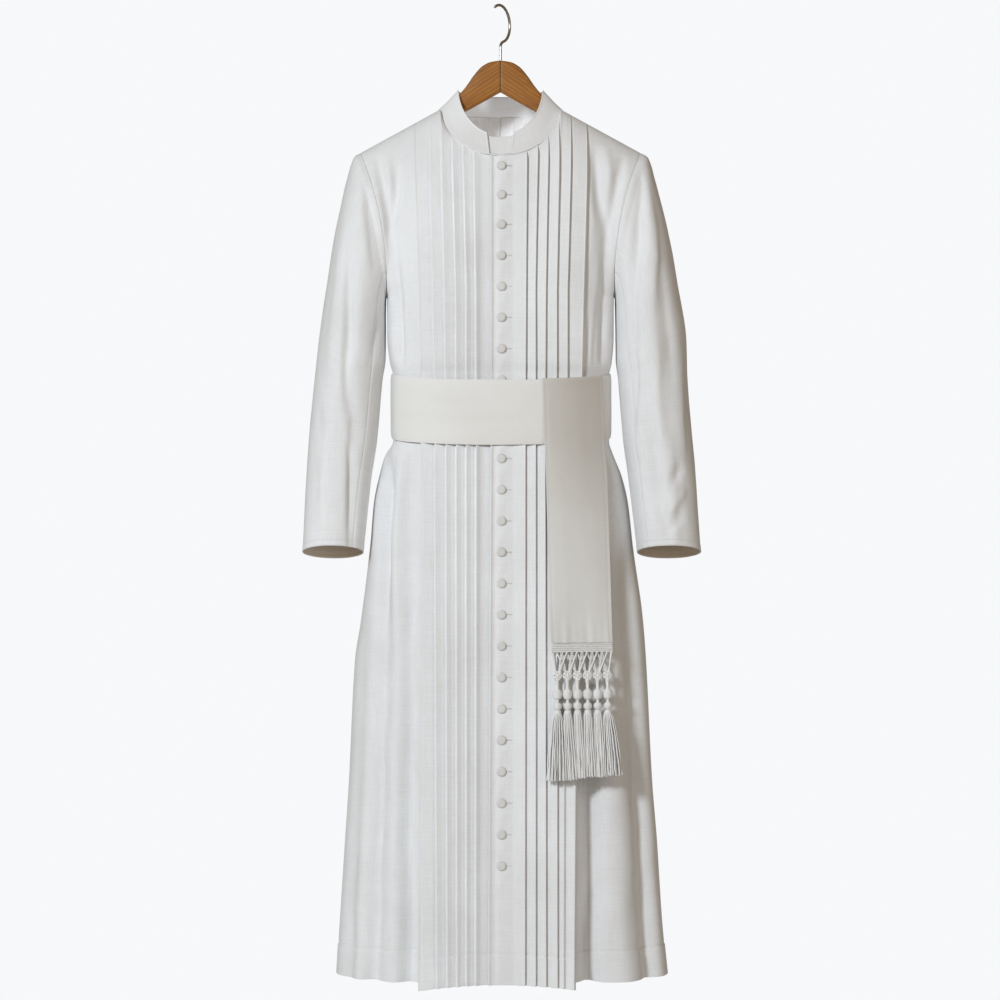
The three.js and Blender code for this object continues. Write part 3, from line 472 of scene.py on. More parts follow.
# Pleat lines of the front: distances from the middle at the neck, chest, waist and hem, and the rise.
pleats = {
    1: [((42, 41, 40, 39), 3), ((60, 56, 56.5, 56), 3), ((78, 72.5, 71.5, 72.5), 3),
        ((96, 90, 90, 90.5), 3), ((115.5, 107, 107, 104), 3)],
    -1: [((42, 39.5, 39, 39.5), 3), ((60, 54.5, 55, 54), 3), ((78, 71.5, 71, 69), 3),
         ((96, 89.5, 87.5, 84.5), 3), ((115.5, 108, 105.5, 101), 3)],
}
outerLine = {1: (142, 133, 129, 120.5), -1: (141, 129.5, 126.5, 132)}
backTucks = [((20, 18, 17, 20), 3), ((40, 36, 34, 42), 3)]
backNeck = (99, 97, 97, 114)
outerRise = 3.6

# Soft folds and creases of the body, seen from the front: ends (x, z), reach, height, and open where
# the fold keeps its height at its lower end. The first ones are the main folds.
bodyFolds = {
    "front": [
        (152, -235, 173, -390, 9, -8.5, 0), (200, -250, 172, -415, 8, -8, 0),
        (174, -350, 166, -600, 9, -7.5, 0), (-166, -262, -180, -400, 8, -8.5, 0),
        (-200, -250, -178, -390, 7, -8.5, 0), (-176, -360, -158, -600, 9, -8.5, 0),
        (-144, -722, -148, hemZ, 12, -15, 1), (-162, -720, -170, -1050, 11, 9, 0),
        (-182, -735, -207, hemZ, 14, -15, 1), (-184, -722, -194, -1040, 10, -13, 0),
        (143, -730, 145, hemZ, 14, -26, 1), (168, -800, 200, hemZ, 28, 13, 1),
        (196, -750, 244, hemZ, 13, -18, 1),
        # drape between the outer pleat and the armhole
        (170, -230, 182, -320, 7, 2.6, 0), (160, -400, 154, -590, 8, 2.6, 0),
        (148, -250, 150, -430, 7, 1.8, 0), (186, -380, 176, -560, 6, 2.2, 0),
        (-184, -240, -180, -330, 7, 2, 0), (-150, -300, -146, -470, 9, -2.2, 0),
        (-164, -400, -148, -590, 8, 2.2, 0), (-186, -420, -172, -590, 6, 2, 0),
        # gathers into the belt
        (173, -500, 164, -606, 4.5, -3.6, 0), (158, -470, 151, -606, 4, -3, 0),
        (145, -510, 139, -606, 3.6, -2.6, 0), (181, -540, 174, -606, 4, 2.4, 0),
        (-166, -510, -160, -606, 4.5, -3.4, 0), (-152, -480, -145, -606, 4, -2.8, 0),
        (-141, -520, -136, -606, 3.6, -2.4, 0), (-178, -530, -172, -606, 4, 2.2, 0),
        # gathers out of the belt
        (-136, -716, -134, -860, 5, -2.4, 0), (-170, -718, -182, -900, 6, -2.6, 0),
        (-154, -718, -158, -840, 5, 2, 0), (142, -718, 150, -880, 6, -2.2, 0),
        (168, -718, 182, -900, 7, -2.2, 0), (156, -718, 164, -860, 5, 1.8, 0),
        # lesser flutes of the skirt
        (-192, -840, -224, hemZ, 12, 5, 1), (-160, -900, -172, hemZ, 12, 5, 1),
        (-222, -980, -250, hemZ, 12, -7, 1), (150, -960, 158, hemZ, 13, 2.6, 1),
        (186, -1080, 218, hemZ, 13, -2.8, 1), (214, -900, 258, hemZ, 10, 2.4, 1),
    ],
    "back": [
        (90, -260, 74, -600, 18, -4, 0), (-100, -280, -82, -600, 18, -4, 0),
        (88, -730, 104, hemZ, 22, -11, 1), (-84, -730, -96, hemZ, 22, -11, 1),
        (140, -760, 178, hemZ, 20, -12, 1), (-146, -760, -172, hemZ, 20, -12, 1),
        (178, -800, 232, hemZ, 15, -8, 1), (-180, -800, -226, hemZ, 15, -8, 1),
        (130, -250, 150, -420, 13, -3, 0), (-128, -240, -152, -430, 13, -3, 0),
        (60, -470, 55, -604, 6, -2.2, 0), (104, -500, 98, -604, 6, -2.4, 0),
        (140, -480, 132, -604, 6, -2.2, 0), (-62, -490, -58, -604, 6, -2.2, 0),
        (-110, -480, -104, -604, 6, -2.4, 0), (-146, -500, -140, -604, 6, -2.2, 0),
        (62, -718, 66, -900, 7, 2.6, 0), (112, -718, 122, -900, 8, 3, 0),
        (-64, -718, -70, -900, 7, 2.6, 0), (-116, -718, -124, -900, 8, 3, 0),
        (52, -860, 62, hemZ, 13, 3.5, 1), (-56, -860, -62, hemZ, 13, 3.5, 1),
        (118, -900, 142, hemZ, 13, 4, 1), (-120, -900, -136, hemZ, 13, 4, 1),
    ],
}

buttons = {"radius": 8, "height": 5.4, "x": 1.6, "clear": 0.45, "rise": 0.8, "sides": 28,
           "runs": [(-274.4, 47.2, 2), (-370, 50, 6), (-662, 42.6, 2), (-747.6, 50.1, 14)]}
buttonHeights = [first - i * pitch for first, pitch, count in buttons["runs"] for i in range(count)]


def foldHeight(fold, x, z):
    x1, z1, x2, z2, reach, height, isOpen = fold
    along = ((x - x1) * (x2 - x1) + (z - z1) * (z2 - z1)) / ((x2 - x1) ** 2 + (z2 - z1) ** 2)
    if along <= 0 or along > 1 + 0.02 * isOpen:
        return 0
    swell = math.sin(pi * min(along, 1) * (0.5 if isOpen else 1)) ** 0.7
    sway = 0.35 * reach * wander((z, x1), x2, (90, 50))  # the fold wanders a little
    away = (x - lerp(x1, x2, along) + sway) / reach
    if away * away > 12:
        return 0
    uneven = 1 + 0.25 * wander((z, x1), x1, (60, 50))
    return height * swell * uneven * math.exp(-away * away * (1 + 0.25 * math.copysign(1, away)))


def bodyRelief(face, x, z):
    height = sum(foldHeight(fold, x, z) for fold in bodyFolds[face])
    clearOfBand = 1 - smooth(z, -740, -715) * (1 - smooth(z, -605, -585))
    slack = 0.5 * wander((x, z), 3, (30, 120)) + 0.25 * wander((x, z), 5, (11, 30))
    return height * clearOfBand + slack * (0.4 + 0.6 * clearOfBand)


def pleatDepth(z):
    return 0 if z > belowBelt else hemPleatDepth * ((z - belowBelt) / (hemZ - belowBelt)) ** 0.8


def lineX(line, z, topZ=0.0):
    if z > underarmZ:
        return lerp(line[1], line[0], (z - underarmZ) / (topZ - underarmZ))
    if z > waistZ:
        return lerp(line[2], line[1], (z - waistZ) / (underarmZ - waistZ))
    return lerp(line[3], line[2], (z - hemZ) / (waistZ - hemZ))


def lateRise(value, corner=0.08):
    past = value - corner
    if past < -corner:
        return 0
    if past > corner:
        return past / (1 - corner)
    return (past + corner) ** 2 / (4 * corner) / (1 - corner)


def loopPoint(loop, turn, side=1):
    level = math.cos(turn)
    depth = loop["front"] if level > 0 else loop["back"]
    return Vector((side * loop["width"] * math.sin(turn), -depth * level,
                   loop["z"] - loop["drop"] * lateRise(level)))


shoulderStart = loopPoint(neck, pi / 2)
shoulderSlope = (armhole["topZ"] - shoulderStart.z) / (armhole["outerX"] - neck["width"])


def armholePoint(turn, side, face):
    middle = (armhole["outerX"] + armhole["innerX"]) / 2
    x = middle + (armhole["outerX"] - middle) * math.cos(turn) - armhole["tuck"] * math.sin(turn) ** 2
    z = (armhole["topZ"] + underarmZ) / 2 + (armhole["topZ"] - underarmZ) / 2 * math.cos(turn)
    forward = -1 if face == "front" else 1
    return Vector((side * x, forward * armhole["halfDepth"] * math.sin(turn), z))


def topPoint(x, side, face):
    if abs(x) > neck["width"]:
        return Vector((side * x, 0, shoulderStart.z + shoulderSlope * (abs(x) - neck["width"])))
    turn = math.asin(x / neck["width"])
    return loopPoint(neck, turn if face == "front" else pi - turn, side)


def sectionPoint(x, z, side, face, sunk=0.0):
    width = sections[sideName(side)](z)
    depth = sections[face](z) - sunk
    y = depth * (1 - min(abs(x) / width, 1) ** power) ** (1 / power)
    return Vector((side * x, -y if face == "front" else y, z))


def lowerZ(level):
    return lerp(underarmZ, hemZ, -level)


# A column of the cloth: its fold line, how far it stands out, how far it is sunk, its share of the way
# from the outer line to the side seam, and its share of the wall behind the deep pleat.
def column(line, rise=0.0, sunk=0.0, share=None, wall=None, fades=None, under=0.0):
    return {"line": tuple(line), "rise": rise, "sunk": sunk, "share": share, "wall": wall,
            "fades": fades, "under": under}


def onLine(line, level, side, face, sunk=0.0):
    if level <= 0:
        z = lowerZ(level)
        return sectionPoint(lineX(line, z), z, side, face, sunk)
    top = topPoint(line[0], side, face)
    top.y += sunk if face == "front" else -sunk
    z = lerp(underarmZ, top.z, math.sin(pi / 2 * level))
    low = sectionPoint(line[1], underarmZ, side, face, sunk).y
    bend = lerp(1.5, 2.2, smooth(abs(line[0]), 50, 110))
    share = (z - underarmZ) / (top.z - underarmZ)
    y = top.y + (low - top.y) * (1 - min(share, 1) ** bend) ** (1 / bend)
    return Vector((side * lineX(line, z, top.z), y, z))


def onSide(line, level, share, side, face):
    z = lowerZ(level) if level <= 0 else underarmZ
    width = sections[sideName(side)](z)
    depth = sections[face](z) - (pleatDepth(z) if face == "front" else 0)
    start = math.asin((lineX(line, z) / width) ** (power / 2))
    turn = lerp(start, pi / 2, share)
    forward = -1 if face == "front" else 1
    if level <= 0:
        flat = max(math.cos(turn), 0) ** (2 / power)
        return Vector((side * width * math.sin(turn) ** (2 / power), forward * depth * flat, z))
    near = onLine(line, level, side, face)
    far = armholePoint(pi * (1 - level), side, face)
    rest = math.sin(start) ** (2 / power)
    bentX = (math.sin(turn) ** (2 / power) - rest) / (1 - rest)
    bentY = 1 - (max(math.cos(turn), 0) / math.cos(start)) ** (2 / power)
    straight = smooth(level, 0, 0.6)
    return Vector((lerp(near.x, far.x, lerp(bentX, share, straight)),
                   lerp(near.y, far.y, lerp(bentY, share, straight)), lerp(near.z, far.z, share)))


def bare(spot, level, side, face):
    if spot["share"] is None:
        return onLine(spot["line"], level, side, face, spot["sunk"])
    return onSide(spot["line"], level, spot["share"], side, face)


def nudged(spot, by):
    moved = dict(spot)
    if spot["share"] is None:
        moved["line"] = tuple(x + by for x in spot["line"])
    else:
        moved["share"] = min(max(spot["share"] + 0.01 * by, 0), 1)
    return moved


def bodyNormal(spot, level, side, face):
    ends = (max(level - 0.006, -1), min(level + 0.006, 1))
    across = bare(nudged(spot, 1), level, side, face) - bare(nudged(spot, -1), level, side, face)
    down = bare(spot, ends[0], side, face) - bare(spot, ends[1], side, face)
    normal = across.cross(down) * (side if face == "back" else -side)
    normal.normalize()
    return -normal if (normal.y > 0) == (face == "front") and abs(normal.y) > 0.2 else normal


def hemShift(spot, face):
    if face == "back" or spot["share"] is not None:
        return 0
    return 4 - 10 * (abs(spot["line"][3]) / outerLine[1][3]) ** 2


def hemRelief(aboveHem):
    # the hem is turned up, and sewn at its width above its edge
    turnedUp = 1 - smooth(aboveHem, hemWidth - 2, hemWidth + 0.5)
    return 0.9 * turnedUp - 0.8 * math.exp(-((aboveHem - (hemWidth + 2)) / 1.8) ** 2)


def placketRelief(x, z):
    # puckers at the buttons, and a little slack between them
    if x < -22 or x > 30:
        return 0
    nearest = min(abs(z - height) for height in buttonHeights)
    pucker = -0.9 * math.exp(-(nearest / 5) ** 2) * math.exp(-((x - 10) / 12) ** 2)
    gap = min((height - z for height in buttonHeights if height > z), default=25) - 25
    slant = math.exp(-((x - 2 + 0.5 * gap) / 6) ** 2) * smooth(25 - abs(gap), 3, 16)
    trough = -1.6 * math.exp(-((x + 9.5) / 4) ** 2)
    return pucker + trough + 0.9 * slant


pleatLift = {1: 1.9, -1: 1.6}  # how many times higher the pleats stand than the steps of the solids


def bodyPlace(side, face):
    def dressed(spot, level):
        p = bare(spot, level, side, face)
        normal = bodyNormal(spot, level, side, face)
        z = p.z
        low = level <= 0
        if low:
            p.z += hemShift(spot, face) * smooth(-z, hemShiftTop, -hemZ)
        share = spot["share"] or 0
        calm = smooth(1 - share, 0, 0.14) if spot["share"] is not None else 1
        if face == "back":
            calm *= smooth(abs(spot["line"][0]), 0, 20)
        calm *= smooth(1 - level, 0, 0.125)
        if spot["share"] is None and face == "front":
            calm *= 0.35 + 0.65 * smooth(abs(p.x), 118, 136)  # the pleats keep the front calm
        height = calm * bodyRelief(face, p.x, z)
        height -= 0.7 * math.exp(-((1 - share) / 0.012) ** 2) if spot["share"] is not None else 0
        beside = smooth(abs(spot["line"][0]), 60, 96)  # beside the collar the pleats start lower down
        lift = smooth(1 - level, 0.18 * beside if side < 0 else 0.03, lerp(0.25, 0.6, beside))
        if spot["fades"]:
            lift *= 1 - smooth(-z, *spot["fades"])
        height += spot["rise"] * lift * (pleatLift[side] if face == "front" else 1)
        height += hemRelief(z - hemZ) if low and z - hemZ < 70 else 0
        if face == "front" and spot["share"] is None and side > 0:
            height += placketRelief(p.x, p.z)
        return p + normal * height + Vector((side * spot["under"] * lift, 0, 0))

    def place(spot, level):
        if spot["wall"] is None:
            return dressed(spot, level)
        edge = dressed(column(outerLine[side], outerRise, fades=outerFades), level)
        foot = dressed(column(shiftedLine(outerLine[side], pleatFoot), share=0), level)
        depth = abs(foot.y - edge.y)
        p = edge.lerp(foot, spot["wall"])
        p.x -= side * min(9, 0.4 + 0.3 * depth) * math.sin(pi * spot["wall"]) ** 0.8
        return p
    return place


def shiftedLine(line, by):
    return tuple(x + by for x in line)


def between(start, end, count):
    made = []
    for i in range(1, count + 1):
        share = i / (count + 1)
        line = tuple(lerp(a, b, share) for a, b in zip(start["line"], end["line"]))
        made.append(column(line, lerp(start["rise"], end["rise"], share),
                           lerp(start["sunk"], end["sunk"], share)))
    return made


# The rounded edge of a knife pleat: steps past its line, shares of its rise, and how far it folds back
# under itself before the next pleat starts in a groove, narrow on one side and soft on the other.
pleatEdge = [(-1.6, 0.88, 0), (-0.7, 1, 0), (0, 0.98, 0), (0.25, 0.82, 0.25), (0.45, 0.5, 0.15),
             (0.6, 0.15, -0.7)]
pleatGroove = {
    "narrow": [(0.8, -0.2, -0.9), (1.2, -0.36, -0.3), (1.7, -0.28, 0), (2.5, 0, 0)],
    "soft": [(0.9, -0.3, -0.9), (1.6, -0.6, -0.2), (2.6, -0.6, 0), (4.2, -0.36, 0), (6.2, -0.1, 0),
             (8, 0, 0)],
}


def pleatColumns(start, lines, count, groove, fades=None):
    made = [start]
    for i, (line, rise) in enumerate(lines):
        fading = fades if i == len(lines) - 1 else None
        fold = [column(shiftedLine(line, by), rise * share, fades=fading, under=under)
                for by, share, under in pleatEdge + pleatGroove[groove]]
        made += between(made[-1], fold[0], count) + fold
    return made


def frontColumns(side):
    if side > 0:
        edge = [column((-16, -16, -16, -20), 0.1), column((-15.8, -15.8, -15.8, -19.8), 1.4),
                column((-15.2, -15.2, -15.2, -19.2), 2.6), column((-14, -14, -14, -18), 2.7),
                column((-12.4, -12.4, -12.4, -16.4), 1.7)]
        start = edge + between(edge[-1], column((20, 20, 20, 20), 0.8), 10)
        start += [column((20, 20, 20, 20), 0.8)]
    else:
        under = 2.2
        start = [column((-20,) * 4, sunk=under)]
        start += between(start[-1], column((22,) * 4, sunk=under), 4)
        start += [column((22,) * 4, sunk=under), column((32,) * 4)]
    fades = lastPleatFades if side > 0 else None
    groove = "narrow" if side > 0 else "soft"
    made = start[:-1] + pleatColumns(start[-1], pleats[side], 5, groove, fades)
    outer = outerLine[side]
    edge = [column(shiftedLine(outer, by), outerRise * share, fades=outerFades)
            for by, share in ((-1.8, 0.9), (-0.8, 1), (0, 1))]
    made += between(made[-1], edge[0], 7) + edge
    made += [column(outer, wall=share) for share in (0.04, 0.12, 0.25, 0.45, 0.65, 0.85, 0.95)]
    low = shiftedLine(outer, pleatFoot)
    return made + [column(low, share=share) for share in steps(0, 0.95, 30) + [0.965, 0.98, 0.99, 1]]


def backColumns(side):
    made = pleatColumns(column((0,) * 4), backTucks, 4, "narrow")
    neckSide = column(backNeck)
    outer = outerLine[side]
    made += between(made[-1], neckSide, 14) + [neckSide]
    made += between(neckSide, column(outer), 4)
    return made + [column(outer, share=share) for share in steps(0, 0.95, 28) + [0.965, 0.98, 0.99, 1]]


def columnsOf(side, face):
    return frontColumns(side) if face == "front" else backColumns(side)


def levelAbove(height):
    return -(underarmZ - hemZ - height) / (underarmZ - hemZ)


# Rows from the top seams to the hem, closer together at the hem's sewing and edge.
aboveSewing, belowSewing = levelAbove(hemWidth + 10), levelAbove(hemWidth - 8)
bodyLevels = [*steps(1, 0, 40)[:-1], *steps(0, aboveSewing, 176)[:-1],
              *steps(aboveSewing, belowSewing, 12), *steps(belowSewing, levelAbove(4), 6)[1:],
              levelAbove(2), levelAbove(0.8), -1]


def addBody():
    made = {}
    for side in (1, -1):
        for face in ("front", "back"):
            node = f"{face}_{sideName(side)}"
            mesh = clothMesh(node, columnsOf(side, face), bodyLevels, bodyPlace(side, face))
            piece = addPiece(f"{node}_cloth", mesh, bodyCloth, "cassock_cloth", [node])
            made[node] = thicken(piece, sheetThick, insideCloth)
    return made


body = addBody()
print("body made")

# The sleeves

sleeveRings = curves(("outerZ", "innerZ", "front", "back", "tuck", "lean"), [
    (0, -242, -476, 62, 62, 14, 0), (1, -251, -482, 67, 66, 9, 0), (2, -274, -491, 71, 70, 5, 0),
    (3, -312, -503, 73, 73, 2, 0), (4, -366, -520, 74, 74, 0, 0), (5, -430, -545, 74, 73, 0, 0),
    (6, -498, -578, 73, 70, 0, 0), (7, -566, -618, 73, 64, 0, 0.03), (8, -634, -660, 74, 54, 0, 0.08),
    (9, -702, -712, 76, 42, 0, 0.13), (10, -768, -768, 79, 29, 0, 0.18), (11, -834, -832, 82, 17, 0, 0.22),
    (12, -899, -899, 86, 5, 0, 0.25)])
sleeveOuter = curves(("left", "right"), [
    (-242, 231, 231), (-251, 244, 242), (-286, 255, 253), (-319, 264, 261), (-385, 279, 275),
    (-451, 291, 285), (-550, 306, 299), (-616, 308, 306), (-748, 318, 317), (-899, 327.5, 323.5)])
sleeveInner = curves(("left", "right"), [
    (-476, 187, 187), (-484, 188.6, 188.6), (-581, 190, 189.5), (-616, 194, 194.5), (-715, 201.5, 202.5),
    (-781, 210, 212), (-899, 223.5, 224)])
sleeveSeams = (135, 225)
lastRing = 12
ringSpacing = 66  # millimetres between the rings near the cuff

# Creases of a sleeve: turn in degrees (0 is the outer edge, 90 the front, 180 the inner edge), height,
# the same at the other end, then reach and height of the crease.
sleeveFolds = {
    -1: [
        (66, -390, 99, -680, 9, -7), (97, -600, 129, -910, 9, -7), (86, -480, 116, -840, 9, 2.4),
        (52, -275, 122, -450, 9, -4.5), (46, -330, 60, -620, 14, 2.4), (142, -500, 126, -600, 8, -2.6),
        (56, -640, 74, -900, 12, 2.2), (40, -660, 66, -740, 9, -1.6), (104, -700, 128, -760, 8, 2),
        (255, -420, 262, -700, 16, -4), (300, -520, 296, -860, 16, -4), (270, -640, 240, -720, 10, 3),
        (280, -300, 268, -460, 15, -3), (225, -520, 250, -590, 9, 3),
    ],
    1: [
        (38, -258, 120, -500, 9, -8), (112, -460, 136, -720, 8, -5.5), (46, -300, 86, -520, 11, 3.6),
        (84, -500, 92, -740, 12, 2.6), (58, -420, 66, -640, 12, -3.4), (104, -620, 96, -900, 10, -3.6),
        (52, -758, 90, -796, 8, -3.4), (50, -798, 94, -836, 8, 3), (58, -836, 98, -868, 8, -2.8),
        (36, -560, 54, -760, 12, 2.4), (76, -700, 82, -900, 11, 2.2),
        (260, -420, 266, -700, 16, -4), (300, -500, 292, -860, 16, -4), (262, -650, 236, -730, 10, 3),
        (284, -300, 270, -460, 15, -3), (222, -540, 250, -600, 9, 3),
    ],
}
sleeveWidth = 62  # millimetres to a radian, for the reach of a crease
creaseLift = 1.35  # how many times higher the creases stand than the heights above


def sleeveBare(turn, ring, side):
    name = sideName(side)
    outerZ, innerZ = sleeveRings["outerZ"](ring), sleeveRings["innerZ"](ring)
    front, back = sleeveRings["front"](ring), sleeveRings["back"](ring)
    outwards = (1 + math.cos(turn)) / 2
    x = lerp(sleeveInner[name](innerZ), sleeveOuter[name](outerZ), outwards)
    x -= sleeveRings["tuck"](ring) * math.sin(turn) ** 2
    middle = (back - front) / 2
    y = middle - (front + back) / 2 * math.sin(turn)
    z = lerp(innerZ, outerZ, outwards) - sleeveRings["lean"](ring) * (y - middle)
    return Vector((side * x, y, z))


def sleeveCrease(fold, turn, z):
    turn1, z1, turn2, z2, reach, height = fold
    x1, x2 = math.radians(turn1) * sleeveWidth, math.radians(turn2) * sleeveWidth
    x = (turn % (2 * pi)) * sleeveWidth
    along = ((x - x1) * (x2 - x1) + (z - z1) * (z2 - z1)) / ((x2 - x1) ** 2 + (z2 - z1) ** 2)
    if along <= 0 or along >= 1:
        return 0
    long = math.hypot(x2 - x1, z2 - z1)
    away = ((x - x1) * (z2 - z1) - (z - z1) * (x2 - x1)) / long
    away = (away + 0.35 * reach * wander((z, x), turn1, (60, 60))) / reach
    if away * away > 12:
        return 0
    return height * math.sin(pi * along) ** 0.8 * math.exp(-away * away * (1 + 0.55 * math.copysign(1, away)))


def sleevePlace(side):
    def place(turn, ring):
        p = sleeveBare(turn, ring, side)
        across = sleeveBare(turn + 0.02, ring, side) - sleeveBare(turn - 0.02, ring, side)
        ends = (min(ring + 0.04, lastRing), max(ring - 0.04, 0))
        down = sleeveBare(turn, ends[0], side) - sleeveBare(turn, ends[1], side)
        normal = across.cross(down).normalized() * side
        relief = creaseLift * sum(sleeveCrease(fold, turn, p.z) for fold in sleeveFolds[side])
        relief += 0.6 * wander((turn * sleeveWidth, p.z), side, (34, 90))
        relief += 0.25 * wander((turn * sleeveWidth, p.z), side + 4, (12, 26))
        head = smooth(ring, 0, 0.9)
        cuff = (lastRing - ring) * ringSpacing  # distance from the cuff's edge
        relief = relief * head + 0.9 * math.exp(-((ring - 0.55) / 0.35) ** 2)
        relief += 0.35 * (1 - smooth(cuff, 9, 11)) - 0.4 * math.exp(-((cuff - 11) / 1.4) ** 2)
        seam = min(abs((turn % (2 * pi)) - math.radians(at)) for at in sleeveSeams)
        relief -= 0.6 * math.exp(-(seam * sleeveWidth / 1.5) ** 2)
        return p + normal * relief
    return place


sleeveLevels = steps(0, 1.2, 22)[:-1] + steps(1.2, 11.5, 104)[:-1] + steps(11.5, lastRing, 12)


def addSleeves():
    made = {}
    for side in (1, -1):
        low, high = (math.radians(seam) for seam in sleeveSeams)
        middle = (side * 250, 0)
        near = 0.012
        first = high - 2 * pi
        strips = {
            "upper": [first, first + near, *steps(first + 2 * near, low - 2 * near, 78), low - near, low],
            "under": [low, low + near, *steps(low + 2 * near, high - 2 * near, 26), high - near, high],
        }
        for part, turns in strips.items():
            node = f"sleeve_{sideName(side)}_{part}"
            mesh = clothMesh(node, turns, sleeveLevels, sleevePlace(side), middle)
            piece = addPiece(f"{node}_cloth", mesh, bodyCloth, "cassock_cloth", [node])
            made[node] = thicken(piece, sheetThick, shadedSleeveInside)
    return made


sleeves = addSleeves()
print("sleeves made")

# The collar

collar = {"opening": (18.4, 22.6), "halfTab": 27, "thick": 2, "gap": 0.4, "tabThick": 1.2}


def collarPoint(share, turn):
    return loopPoint(neck, turn).lerp(loopPoint(rim, turn), share)


def collarNormal(share, turn):
    across = collarPoint(share, turn + 0.01) - collarPoint(share, turn - 0.01)
    up = collarPoint(share + 0.02, turn) - collarPoint(share - 0.02, turn)
    normal = across.cross(up).normalized()
    return -normal if normal.dot(Vector((math.sin(turn), -math.cos(turn), 0))) < 0 else normal


def endTurn(share, x):
    return math.asin(x / lerp(neck["width"], rim["width"], share))


def addCollar():
    def bandPlace(around, share):
        start = endTurn(share, lerp(*collar["opening"], share))
        turn = lerp(start, 2 * pi - start, around)
        relief = 0.9 + 0.4 * math.exp(-((1 - share) / 0.04) ** 2) + 0.8 * math.exp(-(share / 0.2) ** 2)
        relief += 0.4 * wander((turn * 90, share * 40), 8, (40, 30))
        return collarPoint(share, turn) + collarNormal(share, turn) * relief

    shares = [-0.03, -0.01, 0.02, 0.04, *steps(0.07, 0.92, 14), 0.95, 0.975, 1]
    around = [0, 0.002, *steps(0.005, 0.995, 150), 0.998, 1]
    mesh = clothMesh("collar_band", around, shares, bandPlace)
    band = thicken(addPiece("collar_band_cloth", mesh, collarCloth, "collar_cloth", ["collar_band"]),
                   collar["thick"], bevel=0.5)

    def tabPlace(x, share):
        turn = endTurn(share, x)
        depth = collar["thick"] + collar["gap"]
        return collarPoint(share, turn) - collarNormal(share, turn) * depth

    first = endTurn(1, collar["opening"][1])
    edge = [collarPoint(0.996, turn) + collarNormal(0.996, turn) * 0.6
            for turn in steps(first, 2 * pi - first, 160)]
    ends = [[collarPoint(share, way * endTurn(share, lerp(*collar["opening"], share)))
             + collarNormal(share, 0) * 0.6 for share in steps(0.02, 0.996, 12)] for way in (1, -1)]
    threads("collar_rim_edge", [edge, *ends], 1.2, collarCloth, "collar_cloth", sides=2)
    seam = [collarPoint(-0.035, turn) + collarNormal(0, turn) * 1.7 for turn in steps(0, 2 * pi, 160)]
    threads("neck_seam_piping", [seam], 1.0, collarCloth, "cassock_cloth", sides=2)

    mesh = clothMesh("collar_tab", steps(-collar["halfTab"], collar["halfTab"], 24), steps(0.11, 0.98, 12),
                     tabPlace)
    tab = thicken(addPiece("collar_tab_cloth", mesh, collarCloth, "collar_cloth", ["collar_tab"]),
                  collar["tabThick"], bevel=0.3)
    return band, tab


collarBand, collarTab = addCollar()
print("collar made")

# The fascia

waistband = {"left": 180.6, "right": 178.8, "front": 100.6, "back": 90, "top": -606, "bottom": -711,
             "dip": 14, "thick": 2.2}
fall = curves(("x1", "x2", "y1", "y2", "y3"), [
    (-607, 68, 166, -100, -89.5, -57), (-640, 69, 167, -100, -89.5, -57),
    (-712, 71, 169, -101, -90.5, -58), (-775, 73, 173, -106, -99, -73), (-850, 75, 175, -111, -106, -88),
    (-950, 78, 178, -117, -112.5, -98), (-1043, 81, 180, -124, -116, -108)])
fallThick, fallGap = 1.5, 0.5
fallLow = -1043

# Drag lines of the waistband: turn in degrees at each end, share of its height at each end, reach in
# share, and height in millimetres.
dragLines = [(-62, 0.3, 8, 0.42, 0.08, -0.7), (-40, 0.7, 30, 0.62, 0.07, -0.6),
             (-80, 0.55, -30, 0.5, 0.06, 0.6), (20, 0.25, 70, 0.35, 0.07, -0.5),
             (100, 0.4, 190, 0.52, 0.08, -0.8), (150, 0.7, 250, 0.6, 0.08, -0.8),
             (200, 0.3, 280, 0.36, 0.07, 0.7)]


def bandPoint(turn, z, out):
    width = waistband["left" if math.sin(turn) > 0 else "right"] + out
    depth = waistband["front" if math.cos(turn) > 0 else "back"] + out

    def flat(value):
        return math.copysign(abs(value) ** (2 / power), value)
    return Vector((width * flat(math.sin(turn)), -depth * flat(math.cos(turn)), z))


def dragHeight(turn, share):
    degrees = math.degrees(turn)
    height = 0.0
    for turn1, share1, turn2, share2, reach, lift in dragLines:
        for lap in (-360, 0, 360):
            along = (degrees + lap - turn1) / (turn2 - turn1)
            if 0 < along < 1:
                away = (share - lerp(share1, share2, along)) / reach
                height += lift * math.sin(pi * along) * math.exp(-away * away)
    return height


def fallPoint(z, share, out=0.0):
    y1, y2, y3 = fall["y1"](z), fall["y2"](z), fall["y3"](z)
    y = y1 * (1 - share) * (1 - 2 * share) + 4 * y2 * share * (1 - share) + y3 * share * (2 * share - 1)
    return Vector((lerp(fall["x1"](z), fall["x2"](z), share), y - out, z))


